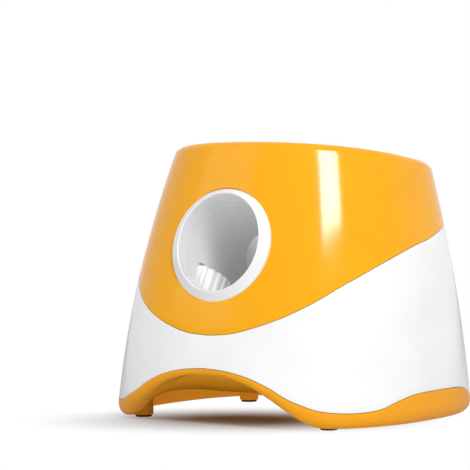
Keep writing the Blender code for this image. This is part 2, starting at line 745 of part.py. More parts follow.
def make_wheel(word, side):
    frame = wheel_frame(side)
    pivot = empty(f"{word}_wheel_axis", frame)
    half = WHEEL_THICK / 2
    rim_out = WHEEL_RADIUS - TYRE_WALL - FIT_GAP
    rim_in = rim_out - TYRE_WALL / 2
    bore = AXLE_RADIUS + AXLE_GAP
    hub = turned(f"{word}_wheel_hub",
                 [(rim_in, half), (rim_out, half), (rim_out, -half), (rim_in, -half), (rim_in, -HUB_WEB / 2),
                  (HUB_BOSS, -HUB_WEB / 2), (HUB_BOSS, -half), (bore, -half), (bore, half),
                  (HUB_BOSS, half), (HUB_BOSS, HUB_WEB / 2), (rim_in, HUB_WEB / 2)],
                 "grey_white", frame, sides=24)
    tyre = make_tyre(f"{word}_wheel_tyre", frame)
    shaft = cylinder(f"{word}_motor_shaft", AXLE_RADIUS, (0, 0, motor_top() + MOTOR_NECK_HEIGHT + FIT_GAP
                                                          + WHEEL_DROP), (0, 0, half - AXLE_GAP),
                     "steel", frame, sides=16)
    for item in (hub, tyre, shaft):
        item.parent = pivot
        item.matrix_parent_inverse = pivot.matrix_world.inverted()


def motor_top():
    """Height of a motor's mounting face in the barrel's frame."""
    return plate_top() - PLATE_THICK - FIT_GAP


def make_motor(word, side):
    x = side * wheel_x()
    frame = BARREL_FRAME @ Matrix.Translation((x, WHEEL_Y, motor_top()))
    motor = turned(f"{word}_motor", [(0, MOTOR_NECK_HEIGHT), (MOTOR_NECK, MOTOR_NECK_HEIGHT), (MOTOR_NECK, 0),
                                     (MOTOR_RADIUS, 0), (MOTOR_RADIUS, -MOTOR_LENGTH),
                                     (0, -MOTOR_LENGTH)], "steel", frame, sides=24)
    thread = PLATE_THICK + FIT_GAP
    for number, offset in enumerate((-MOTOR_SCREW_OFFSET, MOTOR_SCREW_OFFSET), 1):
        cut(motor, cylinder(f"thread_{word}_{number}", SCREW_SHANK + AXLE_GAP, (0, offset, -2 * thread),
                            (0, offset, OVERRUN), frame=frame, cutter=True, sides=12))
        seat = Vector((x, WHEEL_Y + offset, plate_top() + FIT_GAP))
        make_screw(f"{word}_motor_screw_{number}", seat, Vector((0, 0, -1)), 2 * thread, BARREL_FRAME)


# Feed arm and ball switch

def flat_outline(name, points, half_thickness, kind=None, frame=None, cutter=False):
    """A flat closed outline given thickness both ways, as a mesh that a Boolean can use."""
    curve = bpy.data.curves.new(name, 'CURVE')
    curve.dimensions = '2D'
    curve.fill_mode = 'BOTH'
    curve.extrude = half_thickness
    spline = curve.splines.new('POLY')
    spline.points.add(len(points) - 1)
    for point, (x, y) in zip(spline.points, points):
        point.co = (x, y, 0, 1)
    spline.use_cyclic_u = True
    drawn = bpy.data.objects.new(name, curve)
    PARTS.objects.link(drawn)
    bpy.context.view_layer.update()
    mesh = bpy.data.meshes.new_from_object(drawn.evaluated_get(bpy.context.evaluated_depsgraph_get()))
    bpy.data.objects.remove(drawn, do_unlink=True)
    bpy.data.curves.remove(curve)
    bm = bmesh.new()
    bm.from_mesh(mesh)
    bpy.data.meshes.remove(mesh)
    bmesh.ops.remove_doubles(bm, verts=bm.verts, dist=MM / 100)
    return add_object(name, mesh_from(bm, name), kind, frame, cutter)


def arc(centre_x, centre_y, radius, start, end, count):
    return [(centre_x + radius * math.cos(math.radians(a)), centre_y + radius * math.sin(math.radians(a)))
            for a in steps(start, end, count)]


def arm_pivot():
    return BARREL_FRAME @ Vector((0, ARM_PIVOT_Y, -ARM_PIVOT_DROP))


def make_feed_arm():
    """The arm leans back behind the ball at rest, and swings forward about a cross shaft below the barrel."""
    pivot = BARREL_FRAME @ Matrix.Translation((0, ARM_PIVOT_Y, -ARM_PIVOT_DROP))
    axis = empty("feed_arm_axis", pivot)
    upright = pivot @ Matrix.Rotation(-ARM_LEAN, 4, 'X')
    side_on = upright @ Matrix.Rotation(math.pi / 2, 4, 'Z') @ Matrix.Rotation(math.pi / 2, 4, 'X')
    outline = arc(0, 0, ARM_HUB, 180, 360, 8) + arc(0, ARM_LENGTH, ARM_TIP, 0, 180, 6)
    arm = flat_outline("feed_arm", outline, ARM_HALF_WIDTH, "grey_white", side_on)
    cut(arm, cylinder("arm_bore", ARM_AXLE + AXLE_GAP, (-ARM_HUB, 0, 0), (ARM_HUB, 0, 0), frame=pivot,
                      cutter=True, sides=20))
    shaft_end = ARM_HALF_WIDTH + GEARBOX_GAP + ARM_HALF_WIDTH
    shaft = cylinder("feed_arm_shaft", ARM_AXLE, (-ARM_HALF_WIDTH - GEARBOX_GAP, 0, 0), (shaft_end, 0, 0),
                     "steel", pivot, sides=20)
    for item in (arm, shaft):
        item.parent = axis
        item.matrix_parent_inverse = axis.matrix_world.inverted()
    middle = arm_pivot()
    low = Vector((ARM_HALF_WIDTH + GEARBOX_GAP, middle.y + GEARBOX_REAR - GEARBOX_SIZE[1],
                  PAN_HEIGHT + BASE_WALL + FIT_GAP))
    high = Vector((low.x + GEARBOX_SIZE[0], middle.y + GEARBOX_REAR, middle.z + GEARBOX_RISE))
    gearbox = box("feed_gearbox", low, high, "black", bevel=GEARBOX_EDGE)
    cut(gearbox, cylinder("gearbox_bore", ARM_AXLE + AXLE_GAP, (0, 0, 0), (shaft_end + FIT_GAP, 0, 0),
                          frame=pivot, cutter=True, sides=20))
    start = high.x + FIT_GAP
    centre = (low + high) / 2
    cylinder("feed_motor", FEED_MOTOR_RADIUS, (start, centre.y, centre.z),
             (start + FEED_MOTOR_LENGTH, centre.y, centre.z), "steel", sides=24)


def make_ball_switch():
    width, depth, height = SWITCH_SIZE
    front = BARREL_END + FIT_GAP
    plunger = cylinder("ball_switch_plunger", PLUNGER_RADIUS, (0, BARREL_LENGTH - PLUNGER_REACH, SWITCH_RISE),
                       (0, front + PLUNGER_DEPTH, SWITCH_RISE), "black", BARREL_FRAME, sides=16)
    switch = box("ball_switch", (-width / 2, front, SWITCH_RISE - height / 2),
                 (width / 2, front + depth, SWITCH_RISE + height / 2), "black", BARREL_FRAME)
    cut(switch, cylinder("plunger_bore", PLUNGER_RADIUS + FIT_GAP, (0, front - OVERRUN, SWITCH_RISE),
                         (0, front + PLUNGER_DEPTH + PLUNGER_TRAVEL + FIT_GAP, SWITCH_RISE),
                         frame=BARREL_FRAME, cutter=True, sides=16))
    return plunger


# Rear controls and power inlet

WALL_TILT = math.atan((BASE_HALF_BACK - TOP_HALF_BACK) / HEIGHT)


def back_frame(height):
    return tilted_frame(0, wall_point(math.pi, height).y, height, WALL_TILT)


PANEL_FRAME = back_frame(PANEL_HEIGHT)
PANEL_BACK = PANEL_PROUD - PANEL_THICK
BOARD_FRONT = PANEL_BACK - BOARD_SETBACK


def stadium(length, width):
    reach = (length - width) / 2
    return arc(reach, 0, width / 2, -90, 90, 6) + arc(-reach, 0, width / 2, 90, 270, 6)


def facing_out(frame, depth):
    """A frame whose Z points out of the back wall, a depth behind its face."""
    return frame @ Matrix.Translation((0, depth, 0)) @ Matrix.Rotation(-math.pi / 2, 4, 'X')


def make_panel_hole():
    return flat_outline("panel_hole", stadium(PANEL_LENGTH + 2 * FIT_GAP, PANEL_WIDTH + 2 * FIT_GAP),
                        2 * PANEL_THICK, frame=facing_out(PANEL_FRAME, 0), cutter=True)


def make_control_panel():
    panel = flat_outline("control_panel", stadium(PANEL_LENGTH, PANEL_WIDTH), PANEL_THICK / 2, "grey_white",
                         facing_out(PANEL_FRAME, PANEL_PROUD - PANEL_THICK / 2))
    add_bevel(panel, PANEL_EDGE, segments=1)
    for number, x in enumerate(post_places(), 1):
        join(panel, cylinder(f"post_{number}", POST_RADIUS, (x, PANEL_BACK + PANEL_THICK / 2, 0),
                             (x, BOARD_FRONT + FIT_GAP, 0), frame=PANEL_FRAME, cutter=True, sides=16))
        cut(panel, cylinder(f"post_thread_{number}", SCREW_SHANK + AXLE_GAP, (x, PANEL_BACK, 0),
                            (x, BOARD_FRONT - OVERRUN, 0), frame=PANEL_FRAME, cutter=True, sides=12))
    for number, (x, radius) in enumerate(button_places() + lens_places(), 1):
        cut(panel, cylinder(f"panel_bore_{number}", radius + FIT_GAP, (x, PANEL_BACK - OVERRUN, 0),
                            (x, PANEL_PROUD + OVERRUN, 0), frame=PANEL_FRAME, cutter=True, sides=24))


def post_places():
    reach = PANEL_LENGTH / 2 - POST_X
    return -reach, reach


def button_places():
    return [(POWER_BUTTON_X, BUTTON_RADIUS), (DISTANCE_BUTTON_X, BUTTON_RADIUS)]


def lens_places():
    return [(LENS_FIRST_X + LENS_STEP * i, LENS_RADIUS) for i in range(3)]


def make_button(name, x, kind):
    """A round button with a flange that keeps it in the panel, and its switch on the board behind."""
    top = PANEL_PROUD + BUTTON_PROUD
    flange_top = PANEL_BACK - FIT_GAP
    bottom = flange_top - BUTTON_FLANGE
    place = facing_out(PANEL_FRAME, 0) @ Matrix.Translation((x, 0, 0))
    turned(name, [(0, top), (BUTTON_RADIUS - BUTTON_EDGE, top), (BUTTON_RADIUS, top - BUTTON_EDGE),
                  (BUTTON_RADIUS, flange_top), (BUTTON_RADIUS + BUTTON_FLANGE_WIDTH, flange_top),
                  (BUTTON_RADIUS + BUTTON_FLANGE_WIDTH, bottom), (0, bottom)], kind, place, sides=28)
    box(name.replace("button", "switch"), (x - TACT_SIZE / 2, BOARD_FRONT + FIT_GAP, -TACT_SIZE / 2),
        (x + TACT_SIZE / 2, bottom - BUTTON_TRAVEL - FIT_GAP, TACT_SIZE / 2), "black", PANEL_FRAME)


def make_control_board():
    half = PANEL_LENGTH / 2 - BOARD_MARGIN
    tall = PANEL_WIDTH / 2 - BOARD_MARGIN
    back = BOARD_FRONT - BOARD_THICK
    board = box("control_board", (-half, back, -tall), (half, BOARD_FRONT, tall), "board", PANEL_FRAME)
    for number, x in enumerate(post_places(), 1):
        cut(board, cylinder(f"board_hole_{number}", SCREW_SHANK + AXLE_GAP, (x, back - OVERRUN, 0),
                            (x, BOARD_FRONT + OVERRUN, 0), frame=PANEL_FRAME, cutter=True, sides=12))
        make_screw(f"board_screw_{number}", Vector((x, back - FIT_GAP, 0)), Vector((0, 1, 0)),
                   BOARD_THICK + BOARD_SETBACK / 2, PANEL_FRAME)
    cylinder("buzzer", BUZZER_RADIUS, (BUZZER_X, back - FIT_GAP, 0),
             (BUZZER_X, back - FIT_GAP - BUZZER_HEIGHT, 0), "black", PANEL_FRAME, sides=24)


def make_lenses():
    for word, (x, radius) in zip(("near", "middle", "far"), lens_places()):
        cylinder(f"led_lens_{word}", radius, (x, PANEL_BACK - LENS_PROUD, 0),
                 (x, PANEL_PROUD + LENS_PROUD, 0), "lens", PANEL_FRAME, sides=16)


def make_dc_jack():
    frame = back_frame(JACK_HEIGHT)
    width, height, depth = JACK_BODY
    inside = -SHELL_WALL - FIT_GAP
    jack = box("dc_jack", (-width / 2, inside - depth, -height / 2), (width / 2, inside, height / 2),
               "black", frame)
    join(jack, cylinder("jack_neck", JACK_NECK, (0, inside - depth / 2, 0), (0, JACK_PROUD, 0), frame=frame,
                        cutter=True, sides=24))
    cut(jack, cylinder("jack_bore", JACK_BORE, (0, inside - depth / 2, 0), (0, JACK_PROUD + OVERRUN, 0),
                       frame=frame, cutter=True, sides=20))
    join(jack, cylinder("jack_pin", JACK_PIN, (0, inside - depth * .75, 0), (0, inside / 2, 0), frame=frame,
                        cutter=True, sides=12))
    return cylinder("jack_hole", JACK_NECK + FIT_GAP, (0, -2 * depth, 0), (0, depth, 0), frame=frame,
                    cutter=True, sides=24)


def main():
    ring_hole = make_muzzle_ring()
    make_upper_shell(ring_hole)
    make_lower_shell(make_panel_hole(), make_dc_jack())
    make_base(barrel_cutter("barrel_clearance", BARREL_OUTER + FIT_GAP))
    make_foot_pads()
    make_battery_tray()
    make_battery_cells()
    make_battery_door()
    make_launch_barrel()
    make_hopper_bowl()
    for word, side in (("left", -1), ("right", 1)):
        make_wheel(word, side)
        make_motor(word, side)
    make_feed_arm()
    make_ball_switch()
    make_control_panel()
    make_button("power_button", POWER_BUTTON_X, "base_orange")
    make_button("distance_button", DISTANCE_BUTTON_X, "clear_grey")
    make_control_board()
    make_lenses()


main()
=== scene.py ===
"""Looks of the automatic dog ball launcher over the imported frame: smooth shells, barrel, wheels and
controls, a material for every piece, a pale floor, studio light and the photograph's camera."""

import json
import math

import bmesh
import bpy
from mathutils import Matrix, Vector

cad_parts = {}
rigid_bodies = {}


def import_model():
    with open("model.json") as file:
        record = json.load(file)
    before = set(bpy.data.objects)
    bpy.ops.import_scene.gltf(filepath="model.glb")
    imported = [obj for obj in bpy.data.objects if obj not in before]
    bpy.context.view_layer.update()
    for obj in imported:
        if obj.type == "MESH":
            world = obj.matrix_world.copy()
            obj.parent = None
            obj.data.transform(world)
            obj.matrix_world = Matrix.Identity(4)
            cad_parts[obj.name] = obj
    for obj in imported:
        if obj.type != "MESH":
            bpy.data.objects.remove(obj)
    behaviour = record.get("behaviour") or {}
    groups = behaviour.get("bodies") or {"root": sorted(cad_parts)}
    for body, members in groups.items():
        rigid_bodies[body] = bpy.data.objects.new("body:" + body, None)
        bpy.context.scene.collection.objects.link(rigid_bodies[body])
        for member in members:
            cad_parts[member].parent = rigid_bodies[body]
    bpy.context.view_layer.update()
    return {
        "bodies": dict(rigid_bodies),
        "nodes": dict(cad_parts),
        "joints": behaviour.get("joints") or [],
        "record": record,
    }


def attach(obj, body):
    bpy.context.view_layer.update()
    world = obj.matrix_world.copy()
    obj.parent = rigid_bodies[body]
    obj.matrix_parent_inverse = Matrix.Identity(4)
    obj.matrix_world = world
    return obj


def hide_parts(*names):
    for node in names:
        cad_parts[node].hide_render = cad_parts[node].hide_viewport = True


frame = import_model()

MM = 0.001
ROOT = "root"

# Body outline: a superellipse that changes from floor to rim
HEIGHT = 230 * MM
BASE_HALF_SIDE = 140 * MM
BASE_HALF_FRONT = 143 * MM
BASE_HALF_BACK = 137 * MM
TOP_HALF_SIDE = 102 * MM
TOP_HALF_FRONT = 89 * MM
TOP_HALF_BACK = 107 * MM
SIDE_BULGE = 8 * MM
FRONT_BULGE = 6 * MM
BASE_EXPONENT = 2.6
TOP_EXPONENT = 2.3
RIM_DROP = 24 * MM
RIM_ROLL = 5 * MM
RIM_LIP = 3 * MM
SHELL_WALL = 2.5 * MM
SEAM_GAP = 0.4 * MM
FIT_GAP = 0.3 * MM
OVERRUN = 4 * MM
COLUMNS = 240

# Seams round the body: heights at angles from the front, the same on both sides
SWOOSH_LOW = 74 * MM
SWOOSH_HIGH = 164 * MM
SWOOSH_RISE_SHARES = ((0, 0), (6, .02), (14, .08), (25, .18), (36, .30), (50, .465), (67, .635),
                      (88, .80), (105, .91), (125, .975), (150, 1), (180, 1))
BAND_ARCH = 47.5 * MM
BAND_FOOT = 14.5 * MM
BAND_SIDE = 26.5 * MM
BAND_KNOTS = ((0, BAND_ARCH, 1), (6, BAND_ARCH, .96), (13, BAND_ARCH, .865), (20, BAND_ARCH, .72),
              (26, BAND_ARCH, .56), (32, BAND_ARCH, .445), (39, BAND_FOOT, 1.14), (48, BAND_FOOT, 1),
              (57, BAND_FOOT, 1), (65, BAND_FOOT, 1.12), (73, BAND_SIDE, .82), (81, BAND_SIDE, .96),
              (91, BAND_SIDE, 1), (102, BAND_SIDE, .97), (111, BAND_SIDE, .83), (119, BAND_FOOT, 1.1),
              (129, BAND_FOOT, 1), (139, BAND_FOOT, 1.14), (152, BAND_SIDE, .86), (164, BAND_SIDE, 1),
              (180, BAND_SIDE, 1))
LIP_ARCH = 41.5 * MM
LIP_LOW = 2 * MM
LIP_RISE_SHARES = ((0, 1), (4, 1), (8, .93), (13, .82), (19, .62), (26, .37), (32, .17), (38, .04),
                   (45, 0), (180, 0))

# Base
BASE_WALL = 3 * MM
LIP_FILLET = 13 * MM
LIP_TUCK = 8 * MM
LIP_FILLET_SHARE = 0.9
LIP_FILLET_STEPS = 8
LIP_FLANGE = 12 * MM
PAN_HEIGHT = 25.5 * MM
PAN_INSET = 22 * MM
RAMP_INSET = 45 * MM
RAMP_RISE_SHARE = 0.42
FOOT_RADIUS = 8.2 * MM
FOOT_FRONT = (92.5 * MM, -94 * MM)
FOOT_REAR = (89 * MM, 57 * MM)
FOOT_PUCK_LOW = 1.8 * MM
PAD_RADIUS = 7 * MM
PAD_HEIGHT = 1.5 * MM
SCREW_SHANK = 1.5 * MM
SCREW_HEAD = 3 * MM

STAND_X = 24 * MM
STAND_THICK = 8 * MM
STAND_FRONT_Y = -14 * MM
STAND_DEPTH = 16 * MM
STAND_TOP = 60 * MM

# Barrel, with its own frame: Y runs inward and down along the barrel, Z up from it
MOUTH_Y = -111 * MM
MOUTH_Z = 146 * MM
BARREL_TILT = math.radians(30)
RING_TILT = math.radians(15)
BARREL_BORE = 39.2 * MM
BARREL_WALL = 3 * MM
BARREL_LENGTH = 152 * MM
BARREL_SIDES = 144
RING_OUTER = 47.5 * MM
RING_LIP_WIDTH = 0.8 * MM
RING_PROUD = 5.5 * MM
RING_SHOULDER = 0.6 * MM
RING_DEPTH = 8 * MM
RING_EDGE = 0.8 * MM
COLLAR_Y = -9 * MM
COLLAR_TOP = 166 * MM
THROAT_BORE = 35 * MM
THROAT_WALL = 2.2 * MM
THROAT_GAP = 0.4 * MM
COLLAR_WALL = 3 * MM
THROAT_INSERT = 6 * MM
BOWL_DEPTH = 12 * MM
BOWL_TAPER = 3 * MM

# Launch wheels
WHEEL_RADIUS = 30 * MM
WHEEL_THICK = 22 * MM
WHEEL_NIP = 54 * MM
WHEEL_Y = 55 * MM
WHEEL_DROP = 12 * MM
TYRE_WALL = 5 * MM
TYRE_CHAMFER = 3 * MM
TREAD_DEPTH = 1.2 * MM
TREADS = 24
HUB_WEB = 6 * MM
HUB_BOSS = 7 * MM
AXLE_RADIUS = 1.5 * MM
AXLE_GAP = 0.2 * MM
SLOT_GAP = 1.5 * MM
SLOT_CORNER = 7 * MM
MOTOR_NECK = 3.5 * MM
PLATE_THICK = 3 * MM
PLATE_GAP = 3 * MM
PLATE_HALF = 17 * MM
MOTOR_SCREW_OFFSET = 10 * MM

# Openings in the barrel for the feed arm and the ball switch
ARM_PIVOT_Y = 130 * MM
ARM_LENGTH = 42 * MM
ARM_HALF_WIDTH = 5 * MM
ARM_HUB = 7 * MM
ARM_SLOT_GAP = 2 * MM
SWITCH_RISE = 12 * MM
PLUNGER_RADIUS = 2 * MM

# Rear controls, with a frame whose Y points out of the back wall
PANEL_HEIGHT = 100 * MM
PANEL_LENGTH = 74 * MM
PANEL_WIDTH = 28 * MM
PANEL_PROUD = 1.5 * MM
PANEL_THICK = 7 * MM
PANEL_EDGE = 0.8 * MM
BUTTON_RADIUS = 6 * MM
BUTTON_PROUD = 1.8 * MM
BUTTON_FLANGE = 1 * MM
BUTTON_FLANGE_WIDTH = 1.2 * MM
BUTTON_EDGE = 0.6 * MM
POWER_BUTTON_X = -17 * MM
DISTANCE_BUTTON_X = 0.5 * MM
LENS_RADIUS = 2 * MM
LENS_PROUD = 0.5 * MM
LENS_FIRST_X = 14 * MM
LENS_STEP = 7 * MM
BOARD_SETBACK = 7 * MM
POST_RADIUS = 3 * MM
POST_X = 8 * MM
JACK_HEIGHT = 48 * MM
JACK_NECK = 5.5 * MM
JACK_BORE = 3 * MM
JACK_PIN = 1 * MM
JACK_PROUD = 0.8 * MM
JACK_BODY = (14 * MM, 11 * MM, 13 * MM)

# Cells, which set the size of the battery door
CELL_RADIUS = 13.1 * MM
CELL_LENGTH = 48 * MM
CELL_GAP = 0.4 * MM
CELL_BACK_INSET = 37 * MM
TRAY_WALL = 2 * MM

# Materials: colour, roughness and bump from noise in the object's own space
ORANGE = (.9, .4, .002)
ORANGE_SHADE = (.87, .38, .002)
BASE_ORANGE = (.9, .37, .003)
BASE_SHADE = (.86, .345, .003)
WHITE = (.88, .885, .88)
WHITE_SHADE = (.815, .82, .815)
PATCH_SCALE = 16
ROUGHNESS_RANGE = .12
GRAIN_DEPTH = 0.12 * MM
COAT_ROUGHNESS = .12
TRACK_SCALE = 90

# The wave texture takes the sine of this many times the place
WAVE_RATE = 20


def plastic(name, colour, shade, roughness, grain=1500, bump=.06, coat=0, stretch=(1, 1, 1), metallic=0,
            gloss=.5):
    """A moulded or metal finish: faint tone patches, uneven gloss and a fine surface grain."""
    made = bpy.data.materials.new(name)
    made.use_nodes = True
    tree = made.node_tree
    shader = tree.nodes["Principled BSDF"]
    place = tree.nodes.new('ShaderNodeTexCoord')
    mapping = tree.nodes.new('ShaderNodeMapping')
    mapping.inputs["Scale"].default_value = stretch
    tree.links.new(place.outputs["Object"], mapping.inputs["Vector"])
    broad = tree.nodes.new('ShaderNodeTexNoise')
    broad.inputs["Scale"].default_value = PATCH_SCALE
    broad.inputs["Detail"].default_value = 4
    fine = tree.nodes.new('ShaderNodeTexNoise')
    fine.inputs["Scale"].default_value = grain
    fine.inputs["Detail"].default_value = 2
    for texture in (broad, fine):
        tree.links.new(mapping.outputs["Vector"], texture.inputs["Vector"])
    tones = tree.nodes.new('ShaderNodeValToRGB')
    tones.color_ramp.elements[0].position = .3
    tones.color_ramp.elements[0].color = (*shade, 1)
    tones.color_ramp.elements[1].position = .7
    tones.color_ramp.elements[1].color = (*colour, 1)
    tree.links.new(broad.outputs["Fac"], tones.inputs["Fac"])
    tree.links.new(tones.outputs["Color"], shader.inputs["Base Color"])
    spread = tree.nodes.new('ShaderNodeMapRange')
    spread.inputs["To Min"].default_value = roughness * (1 - ROUGHNESS_RANGE)
    spread.inputs["To Max"].default_value = roughness * (1 + ROUGHNESS_RANGE)
    tree.links.new(broad.outputs["Fac"], spread.inputs["Value"])
    tree.links.new(spread.outputs["Result"], shader.inputs["Roughness"])
    relief = tree.nodes.new('ShaderNodeBump')
    relief.inputs["Strength"].default_value = bump
    relief.inputs["Distance"].default_value = GRAIN_DEPTH
    tree.links.new(fine.outputs["Fac"], relief.inputs["Height"])
    tree.links.new(relief.outputs["Normal"], shader.inputs["Normal"])
    shader.inputs["Metallic"].default_value = metallic
    shader.inputs["Specular IOR Level"].default_value = gloss
    shader.inputs["Coat Weight"].default_value = coat
    shader.inputs["Coat Roughness"].default_value = COAT_ROUGHNESS
    return made


def mix_into_colour(tree, blend, pattern):
    """Put a pattern over a finish's own tones."""
    shader = tree.nodes["Principled BSDF"]
    tones = shader.inputs["Base Color"].links[0].from_socket
    mixed = tree.nodes.new('ShaderNodeMix')
    mixed.data_type = 'RGBA'
    mixed.blend_type = blend
    factor, first, second = (next(socket for socket in mixed.inputs if socket.identifier == name)
                             for name in ("Factor_Float", "A_Color", "B_Color"))
    result = next(socket for socket in mixed.outputs if socket.identifier == "Result_Color")
    factor.default_value = 1
    tree.links.new(tones, first)
    tree.links.new(pattern, second)
    tree.links.new(result, shader.inputs["Base Color"])


def board_look():
    """Green solder mask over a grid of copper tracks."""
    made = plastic("board", (.025, .2, .075), (.015, .13, .05), roughness=.4)
    tree = made.node_tree
    mapping = next(node for node in tree.nodes if node.type == 'MAPPING')
    tracks = tree.nodes.new('ShaderNodeTexBrick')
    tracks.inputs["Scale"].default_value = TRACK_SCALE
    tracks.inputs["Mortar Size"].default_value = .012
    tracks.inputs["Color1"].default_value = (1, 1, 1, 1)
    tracks.inputs["Color2"].default_value = (.82, .82, .82, 1)
    tracks.inputs["Mortar"].default_value = (2.2, 2.0, 1.6, 1)
    tree.links.new(mapping.outputs["Vector"], tracks.inputs["Vector"])
    mix_into_colour(tree, 'MULTIPLY', tracks.outputs["Color"])
    return made


def cell_look():
    """A dark sleeve with a lighter band every cell length, along X."""
    made = plastic("cell", (.03, .03, .035), (.02, .02, .025), roughness=.25, coat=.4)
    tree = made.node_tree
    mapping = next(node for node in tree.nodes if node.type == 'MAPPING')
    bands = tree.nodes.new('ShaderNodeTexWave')
    bands.bands_direction = 'X'
    bands.inputs["Scale"].default_value = 2 * math.pi / (WAVE_RATE * (CELL_LENGTH + CELL_GAP))
    step = tree.nodes.new('ShaderNodeValToRGB')
    step.color_ramp.interpolation = 'CONSTANT'
    step.color_ramp.elements[0].color = (.62, .3, .08, 1)
    step.color_ramp.elements[1].position = .16
    step.color_ramp.elements[1].color = (0, 0, 0, 1)
    tree.links.new(mapping.outputs["Vector"], bands.inputs["Vector"])
    tree.links.new(bands.outputs["Fac"], step.inputs["Fac"])
    mix_into_colour(tree, 'ADD', step.outputs["Color"])
    return made


def lens_look():
    """Frosted light pipe."""
    made = plastic("lens", (.82, .86, .84), (.74, .79, .77), roughness=.22, coat=.5)
    shader = made.node_tree.nodes["Principled BSDF"]
    shader.inputs["Transmission Weight"].default_value = .35
    shader.inputs["IOR"].default_value = 1.49
    return made


LOOKS = {
    "orange_shell": lambda: plastic("orange_shell", ORANGE, ORANGE_SHADE, roughness=.13, gloss=.2),
    "orange_base": lambda: plastic("orange_base", BASE_ORANGE, BASE_SHADE, roughness=.3, gloss=.3),
    "white_shell": lambda: plastic("white_shell", WHITE, WHITE_SHADE, roughness=.2),
    "grey_white": lambda: plastic("grey_white", (.86, .865, .87), (.83, .835, .84), roughness=.3),
    "rubber": lambda: plastic("rubber", (.035, .033, .032), (.022, .021, .02), roughness=.78, grain=700,
                              bump=.35),
    "tyre": lambda: plastic("tyre", (.86, .86, .85), (.78, .78, .77), roughness=.62, grain=900, bump=.3),
    "black_plastic": lambda: plastic("black_plastic", (.03, .03, .033), (.02, .02, .022), roughness=.42,
                                     grain=1100, bump=.18),
    "metal": lambda: plastic("metal", (.66, .66, .68), (.56, .56, .58), roughness=.3, grain=500,
                             stretch=(1, 1, 12), bump=.12, metallic=1),
    "board": board_look,
    "lens": lens_look,
    "cell": cell_look,
    "button_orange": lambda: plastic("button_orange", ORANGE, ORANGE_SHADE, roughness=.42, grain=900,
                                     bump=.12),
    "button_grey": lambda: plastic("button_grey", (.3, .305, .315), (.26, .265, .275), roughness=.45,
                                   grain=900, bump=.12),
}
MADE_LOOKS = {}


def look(slot):
    if slot not in MADE_LOOKS:
        MADE_LOOKS[slot] = LOOKS[slot]()
    return MADE_LOOKS[slot]


# Helpers that build meshes and bake their modifiers

LOOKS_COLLECTION = bpy.data.collections.new("looks")
bpy.context.scene.collection.children.link(LOOKS_COLLECTION)
CUTTERS = []


def add_object(name, mesh, kind=None, frame=None, cutter=False):
    """Link a mesh as a piece with its look, or as a cutter, placed by a frame's matrix."""
    item = bpy.data.objects.new(name, mesh)
    LOOKS_COLLECTION.objects.link(item)
    if kind:
        mesh.materials.append(look(kind))
    if cutter:
        CUTTERS.append(item)
    if frame is not None:
        item.matrix_world = frame
    return item


def bake(item, smooth_angle=32):
    """The piece's mesh with its modifiers applied and its place in its vertices."""
    bpy.context.view_layer.update()
    graph = bpy.context.evaluated_depsgraph_get()
    mesh = bpy.data.meshes.new_from_object(item.evaluated_get(graph))
    mesh.transform(item.matrix_world)
    kinds = [slot.material for slot in item.material_slots]
    item.modifiers.clear()
    item.data = mesh
    item.matrix_world = Matrix.Identity(4)
    mesh.materials.clear()
    mesh.materials.append(kinds[0])
    mesh.polygons.foreach_set("material_index", [0] * len(mesh.polygons))
    mesh.shade_smooth()
    mesh.set_sharp_from_angle(angle=math.radians(smooth_angle))
    return item


def dress(item, node=None, body=ROOT, smooth_angle=32):
    """Bake a piece, give it its body and its finish, and let it stand for its node."""
    slot = next(name for name in LOOKS if item.data.materials[0] == look(name))
    bake(item, smooth_angle)
    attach(item, body)
    if node:
        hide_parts(node)
    return item


def mesh_from(bm, name, smooth=False):
    mesh = bpy.data.meshes.new(name)
    if bm.calc_volume(signed=True) < 0:
        bmesh.ops.reverse_faces(bm, faces=bm.faces)
    bm.to_mesh(mesh)
    bm.free()
    if smooth:
        mesh.shade_smooth()
        mesh.set_sharp_from_angle(angle=math.radians(35))
    return mesh


def box(name, low, high, kind=None, frame=None, cutter=False):
    bm = bmesh.new()
    bmesh.ops.create_cube(bm, size=1)
    for vertex in bm.verts:
        vertex.co = Vector(low[i] if vertex.co[i] < 0 else high[i] for i in range(3))
    return add_object(name, mesh_from(bm, name), kind, frame, cutter)


def cylinder(name, radius, start, end, kind=None, frame=None, cutter=False, sides=24):
    """A round bar between two points."""
    start, end = Vector(start), Vector(end)
    bm = bmesh.new()
    bmesh.ops.create_cone(bm, cap_ends=True, segments=sides, radius1=radius, radius2=radius,
                          depth=(end - start).length)
    turn = (end - start).to_track_quat('Z', 'Y').to_matrix().to_4x4()
    bm.transform(Matrix.Translation((start + end) / 2) @ turn)
    return add_object(name, mesh_from(bm, name, smooth=True), kind, frame, cutter)


def add_bevel(item, width, segments, angle=math.radians(40)):
    bevel = item.modifiers.new("rounded_edges", 'BEVEL')
    bevel.width = width
    bevel.segments = segments
    bevel.limit_method = 'ANGLE'
    bevel.angle_limit = angle


def boolean(item, operation, *tools):
    for tool in tools:
        modifier = item.modifiers.new(f"{operation.lower()}_{tool.name}", 'BOOLEAN')
        modifier.operation = operation
        modifier.solver = 'EXACT'
        modifier.object = tool


def cut(item, *tools):
    boolean(item, 'DIFFERENCE', *tools)


def join(item, *tools):
    boolean(item, 'UNION', *tools)


def turned(name, profile, kind, frame, sides):
    """A profile of (radius, height) pairs turned about the frame's Z, outer side first and downward."""
    bm = bmesh.new()
    points = [bm.verts.new((radius, 0, height)) for radius, height in profile]
    for first, second in zip(points, points[1:]):
        bm.edges.new((first, second))
    if profile[0][0]:
        bm.edges.new((points[-1], points[0]))
    mesh = bpy.data.meshes.new(name)
    bm.to_mesh(mesh)
    bm.free()
    item = add_object(name, mesh, kind, frame)
    screw = item.modifiers.new("turned", 'SCREW')
    screw.steps = sides
    screw.render_steps = sides
    screw.use_merge_vertices = True
    screw.merge_threshold = MM / 100
    screw.use_smooth_shade = True
    return item


